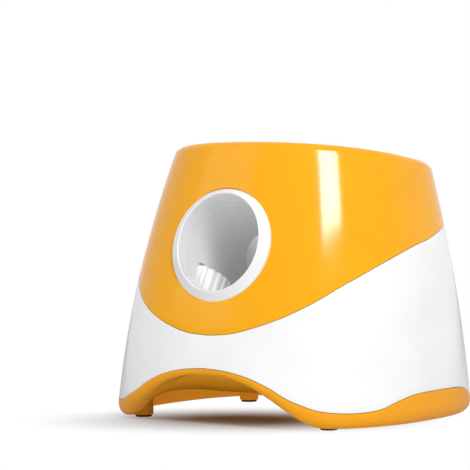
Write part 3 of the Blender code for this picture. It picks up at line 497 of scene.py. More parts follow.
def tilted_frame(x, y, z, tilt):
    return Matrix.Translation((x, y, z)) @ Matrix.Rotation(tilt, 4, 'X')


# Body outline and seams

def wall_point(angle, height, inset=0):
    """A point of the body's outer face: angle from the front towards +X, at a height, set in by an inset."""
    share = height / HEIGHT
    bulge = 4 * share * (1 - share)
    side = BASE_HALF_SIDE + (TOP_HALF_SIDE - BASE_HALF_SIDE) * share + SIDE_BULGE * bulge - inset
    front = BASE_HALF_FRONT + (TOP_HALF_FRONT - BASE_HALF_FRONT) * share + FRONT_BULGE * bulge - inset
    back = BASE_HALF_BACK + (TOP_HALF_BACK - BASE_HALF_BACK) * share - inset
    power = 2 / (BASE_EXPONENT + (TOP_EXPONENT - BASE_EXPONENT) * share)
    across, along = math.sin(angle), -math.cos(angle)
    x = side * math.copysign(abs(across) ** power, across)
    y = (back - front) / 2 + (back + front) / 2 * math.copysign(abs(along) ** power, along)
    return Vector((x, y, height))


def along_knots(angle, knots):
    """A smooth curve through (degrees, value) knots, the same on both sides of the front."""
    degrees = abs((math.degrees(angle) + 180) % 360 - 180)
    for i in range(len(knots) - 1):
        if degrees <= knots[i + 1][0]:
            break
    before, after = knots[max(i - 1, 0)], knots[min(i + 2, len(knots) - 1)]
    start, end = knots[i], knots[i + 1]
    span = end[0] - start[0]
    share = (degrees - start[0]) / span
    rise_in = (end[1] - before[1]) / max(end[0] - before[0], span) * span
    rise_out = (after[1] - start[1]) / max(after[0] - start[0], span) * span
    return (start[1] * (1 + 2 * share) * (1 - share) ** 2 + rise_in * share * (1 - share) ** 2
            + end[1] * share ** 2 * (3 - 2 * share) + rise_out * share ** 2 * (share - 1))


def swoosh_height(angle):
    return SWOOSH_LOW + (SWOOSH_HIGH - SWOOSH_LOW) * along_knots(angle, SWOOSH_RISE_SHARES)


def band_height(angle):
    return along_knots(angle, [(degrees, size * share) for degrees, size, share in BAND_KNOTS])


def lip_height(angle):
    return LIP_LOW + (LIP_ARCH - LIP_LOW) * along_knots(angle, LIP_RISE_SHARES)


def rim_height(angle):
    y = wall_point(angle, HEIGHT).y
    front, back = wall_point(0, HEIGHT).y, wall_point(math.pi, HEIGHT).y
    return HEIGHT - RIM_DROP * (y - front) / (back - front)


def column_angles(count=COLUMNS):
    return [2 * math.pi * i / count for i in range(count)]


def loft(name, rows, kind, frame=None):
    """An open surface through rings of points, lowest or innermost first; a ring of one point is a pole."""
    bm = bmesh.new()
    rings = [[bm.verts.new(point) for point in row] for row in rows]
    count = max(len(ring) for ring in rings)
    for low, high in zip(rings, rings[1:]):
        for i in range(count):
            corners = [low[i % len(low)], low[(i + 1) % count % len(low)],
                       high[(i + 1) % count % len(high)], high[i % len(high)]]
            bm.faces.new(list(dict.fromkeys(corners)))
    bmesh.ops.remove_doubles(bm, verts=bm.verts, dist=MM / 1000)
    mesh = bpy.data.meshes.new(name)
    bm.to_mesh(mesh)
    bm.free()
    mesh.shade_smooth()
    return add_object(name, mesh, kind, frame)


def thicken(item, wall):
    """Give a surface its wall, all of it behind the face."""
    shell = item.modifiers.new("wall", 'SOLIDIFY')
    shell.thickness = wall
    shell.offset = -1
    shell.use_even_offset = True


def steps(low, high, count):
    return [low + (high - low) * i / count for i in range(count + 1)]


# Body shells

BODY_ROWS = 26
SEAM_EDGE = 0.35 * MM
BOWL_ROWS = 22
ROLL_STEP = 12


def roll_profile():
    """Insets and drops below the rim of the rolled edge, from outside over the top to inside."""
    roll = [(RIM_ROLL * (1 - math.cos(math.radians(a))), RIM_ROLL * (1 - math.sin(math.radians(a))))
            for a in range(0, 181, ROLL_STEP)]
    return roll + [(2 * RIM_ROLL, RIM_ROLL + RIM_LIP)]


def ring_hole():
    return cylinder("ring_hole", RING_OUTER + FIT_GAP / 6, (0, -RING_OUTER, 0), (0, RING_OUTER, 0),
                    frame=RING_FRAME, cutter=True, sides=160)


def make_upper_shell():
    angles = column_angles()
    rows = []
    for share in steps(0, 1, BODY_ROWS)[:-1]:
        rows.append([])
        for angle in angles:
            low = swoosh_height(angle) + SEAM_GAP / 2
            high = rim_height(angle) - RIM_ROLL
            rows[-1].append(wall_point(angle, low + (high - low) * share))
    for inset, drop in roll_profile():
        rows.append([wall_point(angle, rim_height(angle) - drop, inset) for angle in angles])
    shell = loft("upper_shell_surface", rows, "orange_shell")
    thicken(shell, SHELL_WALL)
    add_bevel(shell, SEAM_EDGE, segments=3)
    cut(shell, ring_hole())
    dress(shell, "upper_shell")


def make_lower_shell():
    rows = []
    for share in steps(0, 1, BODY_ROWS):
        rows.append([])
        for angle in column_angles():
            low = band_height(angle) + SEAM_GAP / 2
            high = swoosh_height(angle) - SEAM_GAP / 2
            rows[-1].append(wall_point(angle, low + (high - low) * share))
    shell = loft("lower_shell_surface", rows, "white_shell")
    thicken(shell, SHELL_WALL)
    add_bevel(shell, SEAM_EDGE, segments=3)
    panel_hole = prism("panel_hole", stadium(PANEL_LENGTH + 2 * FIT_GAP, PANEL_WIDTH + 2 * FIT_GAP),
                       -2 * PANEL_THICK, 2 * PANEL_THICK, None, facing_out(PANEL_FRAME, 0), cutter=True)
    jack_hole = cylinder("jack_hole", JACK_NECK + FIT_GAP, (0, -2 * JACK_BODY[2], 0), (0, JACK_BODY[2], 0),
                         frame=back_frame(JACK_HEIGHT), cutter=True, sides=64)
    cut(shell, panel_hole, jack_hole)
    dress(shell, "lower_shell")


# Base, feet and battery door

RAMP_STEPS = 10
PAD_GROOVE_SHARES = ((.72, 0), (.7, 1), (.5, 1), (.48, 0))
GRIP_RIBS = 5


def base_rows():
    """From the middle of the pan over the front ramp and down the skirt, round the lip and up the band."""
    angles = column_angles()
    rows = [[Vector((0, 0, PAN_HEIGHT))],
            [wall_point(angle, PAN_HEIGHT, 2 * RAMP_INSET) for angle in angles]]
    for share in steps(0, 1, RAMP_STEPS):
        rows.append([])
        for angle in angles:
            lift = max(lip_height(angle) - PAN_HEIGHT, 0) * RAMP_RISE_SHARE
            inner = wall_point(angle, PAN_HEIGHT, RAMP_INSET)
            ramp = wall_point(angle, PAN_HEIGHT + lift, PAN_INSET)
            outer = wall_point(angle, lip_height(angle), LIP_FLANGE)
            rows[-1].append(inner.lerp(ramp, share).lerp(ramp.lerp(outer, share), share))
    for turn in steps(math.pi / 2, 0, LIP_FILLET_STEPS):
        rows.append([])
        for angle in angles:
            low, high = lip_height(angle), band_height(angle)
            fillet = min(LIP_FILLET, (high - low) * LIP_FILLET_SHARE)
            tuck = LIP_TUCK * fillet / LIP_FILLET
            rows[-1].append(wall_point(angle, low + fillet * (1 - math.sin(turn)),
                                       tuck * (1 - math.cos(turn))))
    rows.append([wall_point(angle, band_height(angle) - SEAM_GAP / 2) for angle in angles])
    return rows


def foot_places():
    fronts = [("front_left", -FOOT_FRONT[0], FOOT_FRONT[1]), ("front_right", *FOOT_FRONT)]
    return fronts + [("rear_left", -FOOT_REAR[0], FOOT_REAR[1]), ("rear_right", *FOOT_REAR)]


def make_base():
    base = loft("base_surface", base_rows(), "orange_base")
    thicken(base, BASE_WALL)
    for name, x, y in foot_places():
        puck = cylinder(f"puck_{name}", FOOT_RADIUS, (x, y, FOOT_PUCK_LOW),
                        (x, y, PAN_HEIGHT + BASE_WALL / 2), cutter=True, sides=72)
        add_bevel(puck, SEAM_EDGE, segments=3)
        join(base, puck)
    clearance = cylinder("barrel_clearance", BARREL_OUTER + FIT_GAP, (0, -RING_OUTER, 0),
                         (0, BARREL_END + FIT_GAP, 0), frame=BARREL_FRAME, cutter=True, sides=BARREL_SIDES)
    for side in (-1, 1):
        near, far = side * STAND_X, side * (STAND_X + STAND_THICK)
        post = box(f"stand_post_{side}", (min(near, far), STAND_FRONT_Y, PAN_HEIGHT + BASE_WALL / 2),
                   (max(near, far), STAND_FRONT_Y + STAND_DEPTH, STAND_TOP), cutter=True)
        cut(post, clearance)
        join(base, post)
    low, high = door_box()
    cut(base, box("door_opening", (low[0] - FIT_GAP, low[1] - FIT_GAP, 0),
                  (high[0] + FIT_GAP, high[1] + FIT_GAP, PAN_HEIGHT + BASE_WALL + OVERRUN), cutter=True))
    dress(base, "base")


def make_foot_pads():
    """Rubber discs with rounded edges and a shallow groove underneath."""
    edge = PAD_HEIGHT / 3
    groove = [(PAD_RADIUS * share, depth * edge) for share, depth in PAD_GROOVE_SHARES]
    profile = [(0, PAD_HEIGHT), (PAD_RADIUS - edge, PAD_HEIGHT), (PAD_RADIUS, PAD_HEIGHT - edge),
               (PAD_RADIUS, edge), (PAD_RADIUS - edge, 0)] + groove + [(0, 0)]
    for name, x, y in foot_places():
        pad = turned(f"foot_pad_{name}_surface", profile, "rubber", Matrix.Translation((x, y, 0)), sides=72)
        dress(pad, f"foot_pad_{name}")


def door_box():
    half, depth = 1.5 * CELL_LENGTH + 2 * CELL_GAP, 4 * CELL_RADIUS + 3 * CELL_GAP
    half += TRAY_WALL
    front = BASE_HALF_BACK - CELL_BACK_INSET - depth
    return ((-half, front - TRAY_WALL, PAN_HEIGHT),
            (half, front + depth + TRAY_WALL, PAN_HEIGHT + BASE_WALL))


def make_battery_door():
    """A flat lid with a grip pattern of shallow ribs beside its screw."""
    low, high = door_box()
    door = box("battery_door_surface", low, high, "orange_base")
    add_bevel(door, SEAM_EDGE / 2, segments=2)
    latch_y = high[1] - TRAY_WALL - SCREW_HEAD
    cut(door, cylinder("door_screw_hole", SCREW_SHANK + AXLE_GAP, (0, latch_y, 0),
                       (0, latch_y, high[2] + OVERRUN), cutter=True, sides=48),
        cylinder("door_screw_recess", SCREW_HEAD + FIT_GAP, (0, latch_y, 0),
                 (0, latch_y, low[2] + BASE_WALL / 2), cutter=True, sides=48))
    for side in (-1, 1):
        for i in range(GRIP_RIBS):
            x = side * (high[0] / 2 + (2 * i + 1 - GRIP_RIBS) * BASE_WALL)
            rib = box(f"grip_{side}_{i}", (x - BASE_WALL / 3, low[1] + 4 * BASE_WALL, 0),
                      (x + BASE_WALL / 3, high[1] - 4 * BASE_WALL, low[2] + BASE_WALL / 4), cutter=True)
            cut(door, rib)
    dress(door, "battery_door", "door")


# Barrel, muzzle ring and bowl

BARREL_FRAME = tilted_frame(0, MOUTH_Y, MOUTH_Z, -BARREL_TILT)
RING_FRAME = tilted_frame(0, MOUTH_Y, MOUTH_Z, -RING_TILT)
BARREL_OUTER = BARREL_BORE + BARREL_WALL
BARREL_END = BARREL_LENGTH + BARREL_WALL


def make_muzzle_ring():
    """A cone that rises from the shell to a rounded lip, and runs on inward as the barrel's own bore."""
    lean = BARREL_TILT - RING_TILT
    turns = column_angles(200)

    def circle(radius, height):
        return [Vector((radius * math.sin(turn), -height, radius * math.cos(turn))) for turn in turns]

    def bore(extra, height):
        return [Vector(((BARREL_BORE + extra) * math.sin(turn), -height, height * math.tan(lean)
                        + (BARREL_BORE + extra) / math.cos(lean) * math.cos(turn))) for turn in turns]

    crest = bore(RING_LIP_WIDTH, RING_PROUD)
    rows = [circle(RING_OUTER, -RING_DEPTH), circle(RING_OUTER, RING_SHOULDER)]
    rows += [circle(RING_OUTER - RING_EDGE * (1 - math.cos(turn)),
                    RING_SHOULDER + RING_EDGE * math.sin(turn))
             for turn in steps(math.pi / 8, math.pi / 2, 3)]
    rows += [[low.lerp(high, share) for low, high in zip(rows[-1], crest)] for share in steps(0, 1, 8)[1:-1]]
    rows += [bore(RING_LIP_WIDTH * (1 - math.sin(turn)), RING_PROUD - RING_LIP_WIDTH * (1 - math.cos(turn)))
             for turn in steps(0, math.pi / 2, 5)]
    rows += [bore(0, height) for height in steps(RING_PROUD - RING_LIP_WIDTH, -RING_DEPTH, 6)[1:]]
    rows.append(rows[0])
    ring = loft("muzzle_ring_surface", rows, "grey_white", RING_FRAME)
    dress(ring, "muzzle_ring")


def wheel_x():
    return WHEEL_NIP / 2 + WHEEL_RADIUS


def plate_top():
    return -WHEEL_DROP - WHEEL_THICK / 2 - PLATE_GAP


def wheel_slot(side):
    half = math.sqrt(WHEEL_RADIUS ** 2 - (wheel_x() - BARREL_OUTER) ** 2) + SLOT_GAP
    low = -WHEEL_DROP - WHEEL_THICK / 2 - SLOT_GAP
    high = -WHEEL_DROP + WHEEL_THICK / 2 + SLOT_GAP
    near, far = side * BARREL_BORE / 2, side * (BARREL_OUTER + OVERRUN)
    slot = box(f"wheel_slot_{side}", (min(near, far), WHEEL_Y - half, low),
               (max(near, far), WHEEL_Y + half, high), frame=BARREL_FRAME, cutter=True)
    add_bevel(slot, SLOT_CORNER, segments=12)
    return slot


def make_launch_barrel():
    """Tube, feed collar and motor plates, open at the mouth, the wheel slots and the collar."""
    barrel = cylinder("launch_barrel_surface", BARREL_OUTER, (0, -RING_OUTER, 0), (0, BARREL_END, 0),
                      "white_shell", BARREL_FRAME, sides=BARREL_SIDES)
    collar_bore = THROAT_BORE + THROAT_WALL + THROAT_GAP
    axis_z = MOUTH_Z - (COLLAR_Y - MOUTH_Y) * math.tan(BARREL_TILT)
    join(barrel, cylinder("feed_collar", collar_bore + COLLAR_WALL, (0, COLLAR_Y, axis_z),
                          (0, COLLAR_Y, COLLAR_TOP), cutter=True, sides=BARREL_SIDES))
    for side in (-1, 1):
        near = side * math.sqrt(BARREL_OUTER ** 2 - plate_top() ** 2) - side * BARREL_WALL
        far = side * (wheel_x() + PLATE_HALF)
        plate = box(f"motor_plate_{side}", (min(near, far), WHEEL_Y - PLATE_HALF, plate_top() - PLATE_THICK),
                    (max(near, far), WHEEL_Y + PLATE_HALF, plate_top()), frame=BARREL_FRAME, cutter=True)
        add_bevel(plate, SEAM_EDGE, segments=2)
        join(barrel, plate)
    cut(barrel, cylinder("barrel_bore", BARREL_BORE, (0, -RING_OUTER - OVERRUN, 0), (0, BARREL_LENGTH, 0),
                         frame=BARREL_FRAME, cutter=True, sides=BARREL_SIDES),
        cylinder("collar_bore", collar_bore, (0, COLLAR_Y, axis_z), (0, COLLAR_Y, COLLAR_TOP + OVERRUN),
                 cutter=True, sides=BARREL_SIDES),
        box("mouth_trim", (-2 * BARREL_OUTER, -2 * RING_OUTER, -2 * BARREL_OUTER),
            (2 * BARREL_OUTER, RING_DEPTH + FIT_GAP, 2 * BARREL_OUTER), frame=RING_FRAME, cutter=True))
    half_slot = ARM_HALF_WIDTH + ARM_SLOT_GAP
    slot_start = ARM_PIVOT_Y - ARM_LENGTH / 2 - ARM_HUB
    cut(barrel, box("arm_slot", (-half_slot, slot_start, -BARREL_OUTER - OVERRUN),
                    (half_slot, BARREL_LENGTH - ARM_SLOT_GAP, -BARREL_BORE / 2), frame=BARREL_FRAME,
                    cutter=True),
        cylinder("plunger_hole", PLUNGER_RADIUS + FIT_GAP, (0, BARREL_LENGTH - OVERRUN, SWITCH_RISE),
                 (0, BARREL_END + OVERRUN, SWITCH_RISE), frame=BARREL_FRAME, cutter=True, sides=48))
    for side in (-1, 1):
        x = side * wheel_x()
        floor = plate_top() - PLATE_THICK - OVERRUN
        cut(barrel, wheel_slot(side),
            cylinder(f"neck_hole_{side}", MOTOR_NECK + FIT_GAP, (x, WHEEL_Y, floor),
                     (x, WHEEL_Y, plate_top() + OVERRUN), frame=BARREL_FRAME, cutter=True, sides=48))
        for offset in (-MOTOR_SCREW_OFFSET, MOTOR_SCREW_OFFSET):
            cut(barrel, cylinder(f"motor_screw_hole_{side}_{offset:.3f}", SCREW_SHANK + AXLE_GAP,
                                 (x, WHEEL_Y + offset, floor), (x, WHEEL_Y + offset, plate_top() + OVERRUN),
                                 frame=BARREL_FRAME, cutter=True, sides=32))
    dress(barrel, "launch_barrel")


def make_hopper_bowl():
    """A funnel with a smooth sweep from the rolled rim down to its round throat."""
    angles = column_angles()
    inset = 2 * RIM_ROLL + FIT_GAP
    outer = THROAT_BORE + THROAT_WALL
    circles = [Vector((math.sin(angle) * outer, COLLAR_Y - math.cos(angle) * outer, 0)) for angle in angles]
    neck = Vector((0, 0, COLLAR_TOP + COLLAR_WALL))
    rows = [[spot + Vector((0, 0, COLLAR_TOP - THROAT_INSERT)) for spot in circles],
            [spot + neck - Vector((0, 0, COLLAR_WALL / 2)) for spot in circles]]
    for share in steps(0, 1, BOWL_ROWS):
        rows.append([])
        for spot, angle in zip(circles, angles):
            top = wall_point(angle, rim_height(angle) - RIM_ROLL - BOWL_DEPTH, inset + BOWL_TAPER)
            rows[-1].append((spot + neck).lerp(top, share))
    for share in (.25, .5, .75, 1):
        rows.append([wall_point(angle, rim_height(angle) - RIM_ROLL - BOWL_DEPTH * (1 - share),
                                inset + BOWL_TAPER * (1 - share) ** 2) for angle in angles])
    bowl = loft("hopper_bowl_surface", rows, "white_shell")
    thicken(bowl, THROAT_WALL)
    dress(bowl, "hopper_bowl", smooth_angle=50)


# Wheels

RIB_SHARE = (0, 0, 0, .25, .85, 1, 1, .85, .25, 0)
HUB_HOLES = 6
HUB_HOLE_SHARE = .3


def wheel_frame(side):
    return BARREL_FRAME @ Matrix.Translation((side * wheel_x(), WHEEL_Y, -WHEEL_DROP))


def make_tyre(word, side):
    """A soft ring with flat ribs across its outer face."""
    half = WHEEL_THICK / 2
    inner = WHEEL_RADIUS - TYRE_WALL
    edge = TYRE_CHAMFER
    section = [(inner, -half)]
    for turn in steps(-math.pi / 2, 0, 5):
        section.append((WHEEL_RADIUS - edge + edge * math.cos(turn), edge - half + edge * math.sin(turn)))
    for turn in steps(0, math.pi / 2, 5):
        section.append((WHEEL_RADIUS - edge + edge * math.cos(turn), half - edge + edge * math.sin(turn)))
    section.append((inner, half))
    bm = bmesh.new()
    rings = []
    for i, angle in enumerate(column_angles(len(RIB_SHARE) * TREADS)):
        groove = TREAD_DEPTH * RIB_SHARE[i % len(RIB_SHARE)]
        rings.append([bm.verts.new(((radius - groove * (radius > inner)) * math.cos(angle),
                                    (radius - groove * (radius > inner)) * math.sin(angle), height))
                      for radius, height in section])
    for i, ring in enumerate(rings):
        following = rings[(i + 1) % len(rings)]
        for j in range(len(section)):
            k = (j + 1) % len(section)
            bm.faces.new((ring[j], following[j], following[k], ring[k]))
    tyre = add_object(f"{word}_wheel_tyre_surface", mesh_from(bm, "tyre"), "tyre", wheel_frame(side))
    dress(tyre, f"{word}_wheel_tyre", f"{word}_wheel", smooth_angle=24)


def make_hub(word, side):
    half = WHEEL_THICK / 2
    rim_out = WHEEL_RADIUS - TYRE_WALL - FIT_GAP
    rim_in = rim_out - TYRE_WALL / 2
    bore = AXLE_RADIUS + AXLE_GAP
    hub = turned(f"{word}_wheel_hub_surface",
                 [(rim_in, half), (rim_out, half), (rim_out, -half), (rim_in, -half), (rim_in, -HUB_WEB / 2),
                  (HUB_BOSS, -HUB_WEB / 2), (HUB_BOSS, -half), (bore, -half), (bore, half),
                  (HUB_BOSS, half), (HUB_BOSS, HUB_WEB / 2), (rim_in, HUB_WEB / 2)],
                 "grey_white", wheel_frame(side), sides=96)
    hole_x = (rim_in + HUB_BOSS) / 2
    for i in range(HUB_HOLES):
        turn = Matrix.Rotation(2 * math.pi / HUB_HOLES * i, 4, 'Z')
        cut(hub, cylinder(f"lightening_{word}_{i}", (rim_in - HUB_BOSS) * HUB_HOLE_SHARE,
                          (hole_x, 0, -half), (hole_x, 0, half), frame=wheel_frame(side) @ turn,
                          cutter=True, sides=40))
    add_bevel(hub, SEAM_EDGE / 2, segments=2, angle=math.radians(50))
    dress(hub, f"{word}_wheel_hub", f"{word}_wheel")


# Rear controls and power inlet

WALL_TILT = math.atan((BASE_HALF_BACK - TOP_HALF_BACK) / HEIGHT)


def back_frame(height):
    return tilted_frame(0, wall_point(math.pi, height).y, height, WALL_TILT)


PANEL_FRAME = back_frame(PANEL_HEIGHT)
PANEL_BACK = PANEL_PROUD - PANEL_THICK
BOARD_FRONT = PANEL_BACK - BOARD_SETBACK


def arc(centre_x, centre_y, radius, start, end, count):
    return [(centre_x + radius * math.cos(math.radians(a)), centre_y + radius * math.sin(math.radians(a)))
            for a in steps(start, end, count)]


def stadium(length, width):
    reach = (length - width) / 2
    return arc(reach, 0, width / 2, -90, 90, 32) + arc(-reach, 0, width / 2, 90, 270, 32)


def facing_out(frame, depth):
    """A frame whose Z points out of the back wall, a depth behind its face."""
    return frame @ Matrix.Translation((0, depth, 0)) @ Matrix.Rotation(-math.pi / 2, 4, 'X')


def prism(name, points, low, high, kind=None, frame=None, cutter=False):
    """A flat outline drawn out between two heights."""
    bm = bmesh.new()
    face = bm.faces.new([bm.verts.new((x, y, low)) for x, y in points])
    raised = bmesh.ops.extrude_face_region(bm, geom=[face])["geom"]
    bmesh.ops.translate(bm, verts=[part for part in raised if isinstance(part, bmesh.types.BMVert)],
                        vec=(0, 0, high - low))
    bmesh.ops.recalc_face_normals(bm, faces=bm.faces)
    return add_object(name, mesh_from(bm, name), kind, frame, cutter)


def post_places():
    reach = PANEL_LENGTH / 2 - POST_X
    return -reach, reach


def lens_places():
    return [(LENS_FIRST_X + LENS_STEP * i, LENS_RADIUS) for i in range(3)]


def make_control_panel():
    panel = prism("control_panel_surface", stadium(PANEL_LENGTH, PANEL_WIDTH), PANEL_PROUD - PANEL_THICK,
                  PANEL_PROUD, "grey_white", facing_out(PANEL_FRAME, 0))
    add_bevel(panel, PANEL_EDGE, segments=4)
    for x in post_places():
        join(panel, cylinder(f"post_{x:.3f}", POST_RADIUS, (x, PANEL_BACK + PANEL_THICK / 2, 0),
                             (x, BOARD_FRONT + FIT_GAP, 0), frame=PANEL_FRAME, cutter=True, sides=48))
        cut(panel, cylinder(f"post_thread_{x:.3f}", SCREW_SHANK + AXLE_GAP, (x, PANEL_BACK, 0),
                            (x, BOARD_FRONT - OVERRUN, 0), frame=PANEL_FRAME, cutter=True, sides=32))
    for x, radius in [(POWER_BUTTON_X, BUTTON_RADIUS), (DISTANCE_BUTTON_X, BUTTON_RADIUS)] + lens_places():
        cut(panel, cylinder(f"panel_bore_{x:.3f}", radius + FIT_GAP, (x, PANEL_BACK - OVERRUN, 0),
                            (x, PANEL_PROUD + OVERRUN, 0), frame=PANEL_FRAME, cutter=True, sides=72))
    dress(panel, "control_panel")


# Shares of a button's rounded edge and of its radius
DISH_SHARE = .5
DISH_WIDTH_SHARE = .8
MARK_DROP_SHARE = .1


def make_button(name, x, kind, body):
    """A round button with a softly dished top and the flange that keeps it in."""
    top = PANEL_PROUD + BUTTON_PROUD
    flange_top = PANEL_BACK - FIT_GAP
    bottom = flange_top - BUTTON_FLANGE
    edge = BUTTON_EDGE
    dish = [(BUTTON_RADIUS * share * DISH_WIDTH_SHARE, top - edge * DISH_SHARE * (1 - share ** 2))
            for share in steps(0, 1, 6)]
    rim = [(BUTTON_RADIUS - edge + edge * math.sin(turn), top - edge + edge * math.cos(turn))
           for turn in steps(0, math.pi / 2, 6)]
    place = facing_out(PANEL_FRAME, 0) @ Matrix.Translation((x, 0, 0))
    button = turned(f"{name}_surface", dish + rim + [
        (BUTTON_RADIUS, flange_top), (BUTTON_RADIUS + BUTTON_FLANGE_WIDTH, flange_top),
        (BUTTON_RADIUS + BUTTON_FLANGE_WIDTH, bottom), (0, bottom)], kind, place, sides=96)
    dress(button, name, body)


# Shares of a button's radius: ring and stroke of the power sign, and the bars of the other button
SIGN_OUTER_SHARE = .5
SIGN_INNER_SHARE = .38
SIGN_START, SIGN_END = 125, 415
STROKE_HALF_SHARE = .06
STROKE_SPAN_SHARES = (.15, .58)
BAR_HALF_SHARE = .084
BAR_PITCH_SHARE = .3
BAR_LOW_SHARE = -.3
BAR_RISE_SHARES = (.18, .36, .54)


def upright_bar(middle, half, low, high):
    return [(middle - half, low), (middle + half, low), (middle + half, high), (middle - half, high)]


def make_marks():
    """A power sign on one button and three rising bars on the other, as thin raised pads."""
    top = PANEL_PROUD + BUTTON_PROUD
    height = (top - BUTTON_EDGE * DISH_SHARE - FIT_GAP, top - BUTTON_EDGE * MARK_DROP_SHARE)
    size = BUTTON_RADIUS
    sign = (arc(0, 0, size * SIGN_OUTER_SHARE, SIGN_START, SIGN_END, 40)
            + arc(0, 0, size * SIGN_INNER_SHARE, SIGN_END, SIGN_START, 40))
    stroke = upright_bar(0, size * STROKE_HALF_SHARE, *(size * share for share in STROKE_SPAN_SHARES))
    place = facing_out(PANEL_FRAME, 0) @ Matrix.Translation((POWER_BUTTON_X, 0, 0))
    dress(prism("power_sign_ring", sign, *height, "grey_white", place), body="power_key")
    dress(prism("power_sign_stroke", stroke, *height, "grey_white", place), body="power_key")
    place = facing_out(PANEL_FRAME, 0) @ Matrix.Translation((DISTANCE_BUTTON_X, 0, 0))
    for i, rise in enumerate(BAR_RISE_SHARES):
        low = size * BAR_LOW_SHARE
        bar = upright_bar(size * BAR_PITCH_SHARE * (i - 1), size * BAR_HALF_SHARE, low, low + size * rise)
        dress(prism(f"distance_bar_{i + 1}", bar, *height, "grey_white", place), body="distance_key")


def make_lenses():
    for word, (x, radius) in zip(("near", "middle", "far"), lens_places()):
        place = facing_out(PANEL_FRAME, 0) @ Matrix.Translation((x, 0, 0))
        dome = [(radius * math.sin(turn), PANEL_PROUD + LENS_PROUD * math.cos(turn))
                for turn in steps(0, math.pi / 2, 8)]
        foot = [(radius, PANEL_BACK - LENS_PROUD), (0, PANEL_BACK - LENS_PROUD)]
        lens = turned(f"led_lens_{word}_surface", dome + foot, "lens", place, sides=64)
        dress(lens, f"led_lens_{word}")


JACK_PIN_SHARE = .75


def make_dc_jack():
    width, height, depth = JACK_BODY
    place = back_frame(JACK_HEIGHT)
    inside = -SHELL_WALL - FIT_GAP
    jack = box("dc_jack_surface", (-width / 2, inside - depth, -height / 2), (width / 2, inside, height / 2),
               "black_plastic", place)
    neck = cylinder("jack_neck", JACK_NECK, (0, inside - depth / 2, 0), (0, JACK_PROUD, 0), frame=place,
                    cutter=True, sides=96)
    add_bevel(neck, SEAM_EDGE / 2, segments=3)
    join(jack, neck)
    cut(jack, cylinder("jack_bore", JACK_BORE, (0, inside - depth / 2, 0), (0, JACK_PROUD + OVERRUN, 0),
                       frame=place, cutter=True, sides=64))
    join(jack, cylinder("jack_pin", JACK_PIN, (0, inside - depth * JACK_PIN_SHARE, 0), (0, inside / 2, 0),
                        frame=place, cutter=True, sides=32))
    dress(jack, "dc_jack")


# Finishes of the CAD nodes that stay in sight

NODE_LOOKS = {
    "battery_tray": "black_plastic", "feed_gearbox": "black_plastic", "feed_arm": "grey_white",
    "feed_motor": "metal", "left_motor": "metal", "right_motor": "metal", "left_motor_shaft": "metal",
    "right_motor_shaft": "metal", "feed_arm_shaft": "metal", "battery_door_screw": "metal",
    "ball_switch": "black_plastic", "ball_switch_plunger": "black_plastic", "control_board": "board",
    "buzzer": "black_plastic", "power_switch": "black_plastic", "distance_switch": "black_plastic",
    "board_screw_1": "metal", "board_screw_2": "metal",
}


def finish_nodes():
    """A finish for each carried-over node, whose mesh stays as it is."""
    for name, node in frame["nodes"].items():
        kind = NODE_LOOKS.get(name)
        if kind is None and name.startswith("battery_cell"):
            kind = "cell"
        if kind is None and "motor_screw" in name:
            kind = "metal"
        if kind:
            node.data.materials.clear()
            node.data.materials.append(look(kind))


# Floor, light and camera

SHADOW_CENTRE = (-.008, -.076)
SHADOW_TURN = math.radians(33.5)
SHADOW_REACH = (.19, .118)
SHADOW_CORE = .15
# Grey of the floor, seen only in the shadow patch: painted shade that makes the real shadow there darker
SHADOW_PATCH_GREY = (.5, .52, .54)
FLOOR_RADIUS = 9
# Share of the floor's white glow that other surfaces see: a painted glow that lights the object from below
# in place of bounce light
FLOOR_BOUNCE = .6
WORLD_LEVEL = .5

# Lamps: place, the point faced, width and height, and power
KEY = ((1.68, -1.25, 1.78), (.08, -.08, .17), .85, .75, 45)
STREAK = ((1.7, -1.27, 1.8), (.08, -.08, .17), .85, .75, 60)
FILL = ((-1.9, -2.1, 1.6), (0, 0, .1), 1.6, 1.6, 10)


def math_node(tree, operation, first, second):
    """One operation on an output and on a second output or number."""
    made = tree.nodes.new('ShaderNodeMath')
    made.operation = operation
    tree.links.new(first, made.inputs[0])
    if isinstance(second, (int, float)):
        made.inputs[1].default_value = second
    else:
        tree.links.new(second, made.inputs[1])
    return made.outputs["Value"]


def make_world():
    """White to the camera and in reflections, and softer as a light."""
    world = bpy.data.worlds.new("studio")
    bpy.context.scene.world = world
    world.use_nodes = True
    tree = world.node_tree
    back = tree.nodes["Background"]
    back.inputs["Color"].default_value = (1, 1, 1, 1)
    rays = tree.nodes.new('ShaderNodeLightPath').outputs
    seen = math_node(tree, 'MAXIMUM', rays["Is Camera Ray"], rays["Is Transmission Ray"])
    shown = math_node(tree, 'MAXIMUM', seen, rays["Is Glossy Ray"])
    level = tree.nodes.new('ShaderNodeMapRange')
    level.inputs["To Min"].default_value = WORLD_LEVEL
    level.inputs["To Max"].default_value = 1
    tree.links.new(shown, level.inputs["Value"])
    tree.links.new(level.outputs["Result"], back.inputs["Strength"])


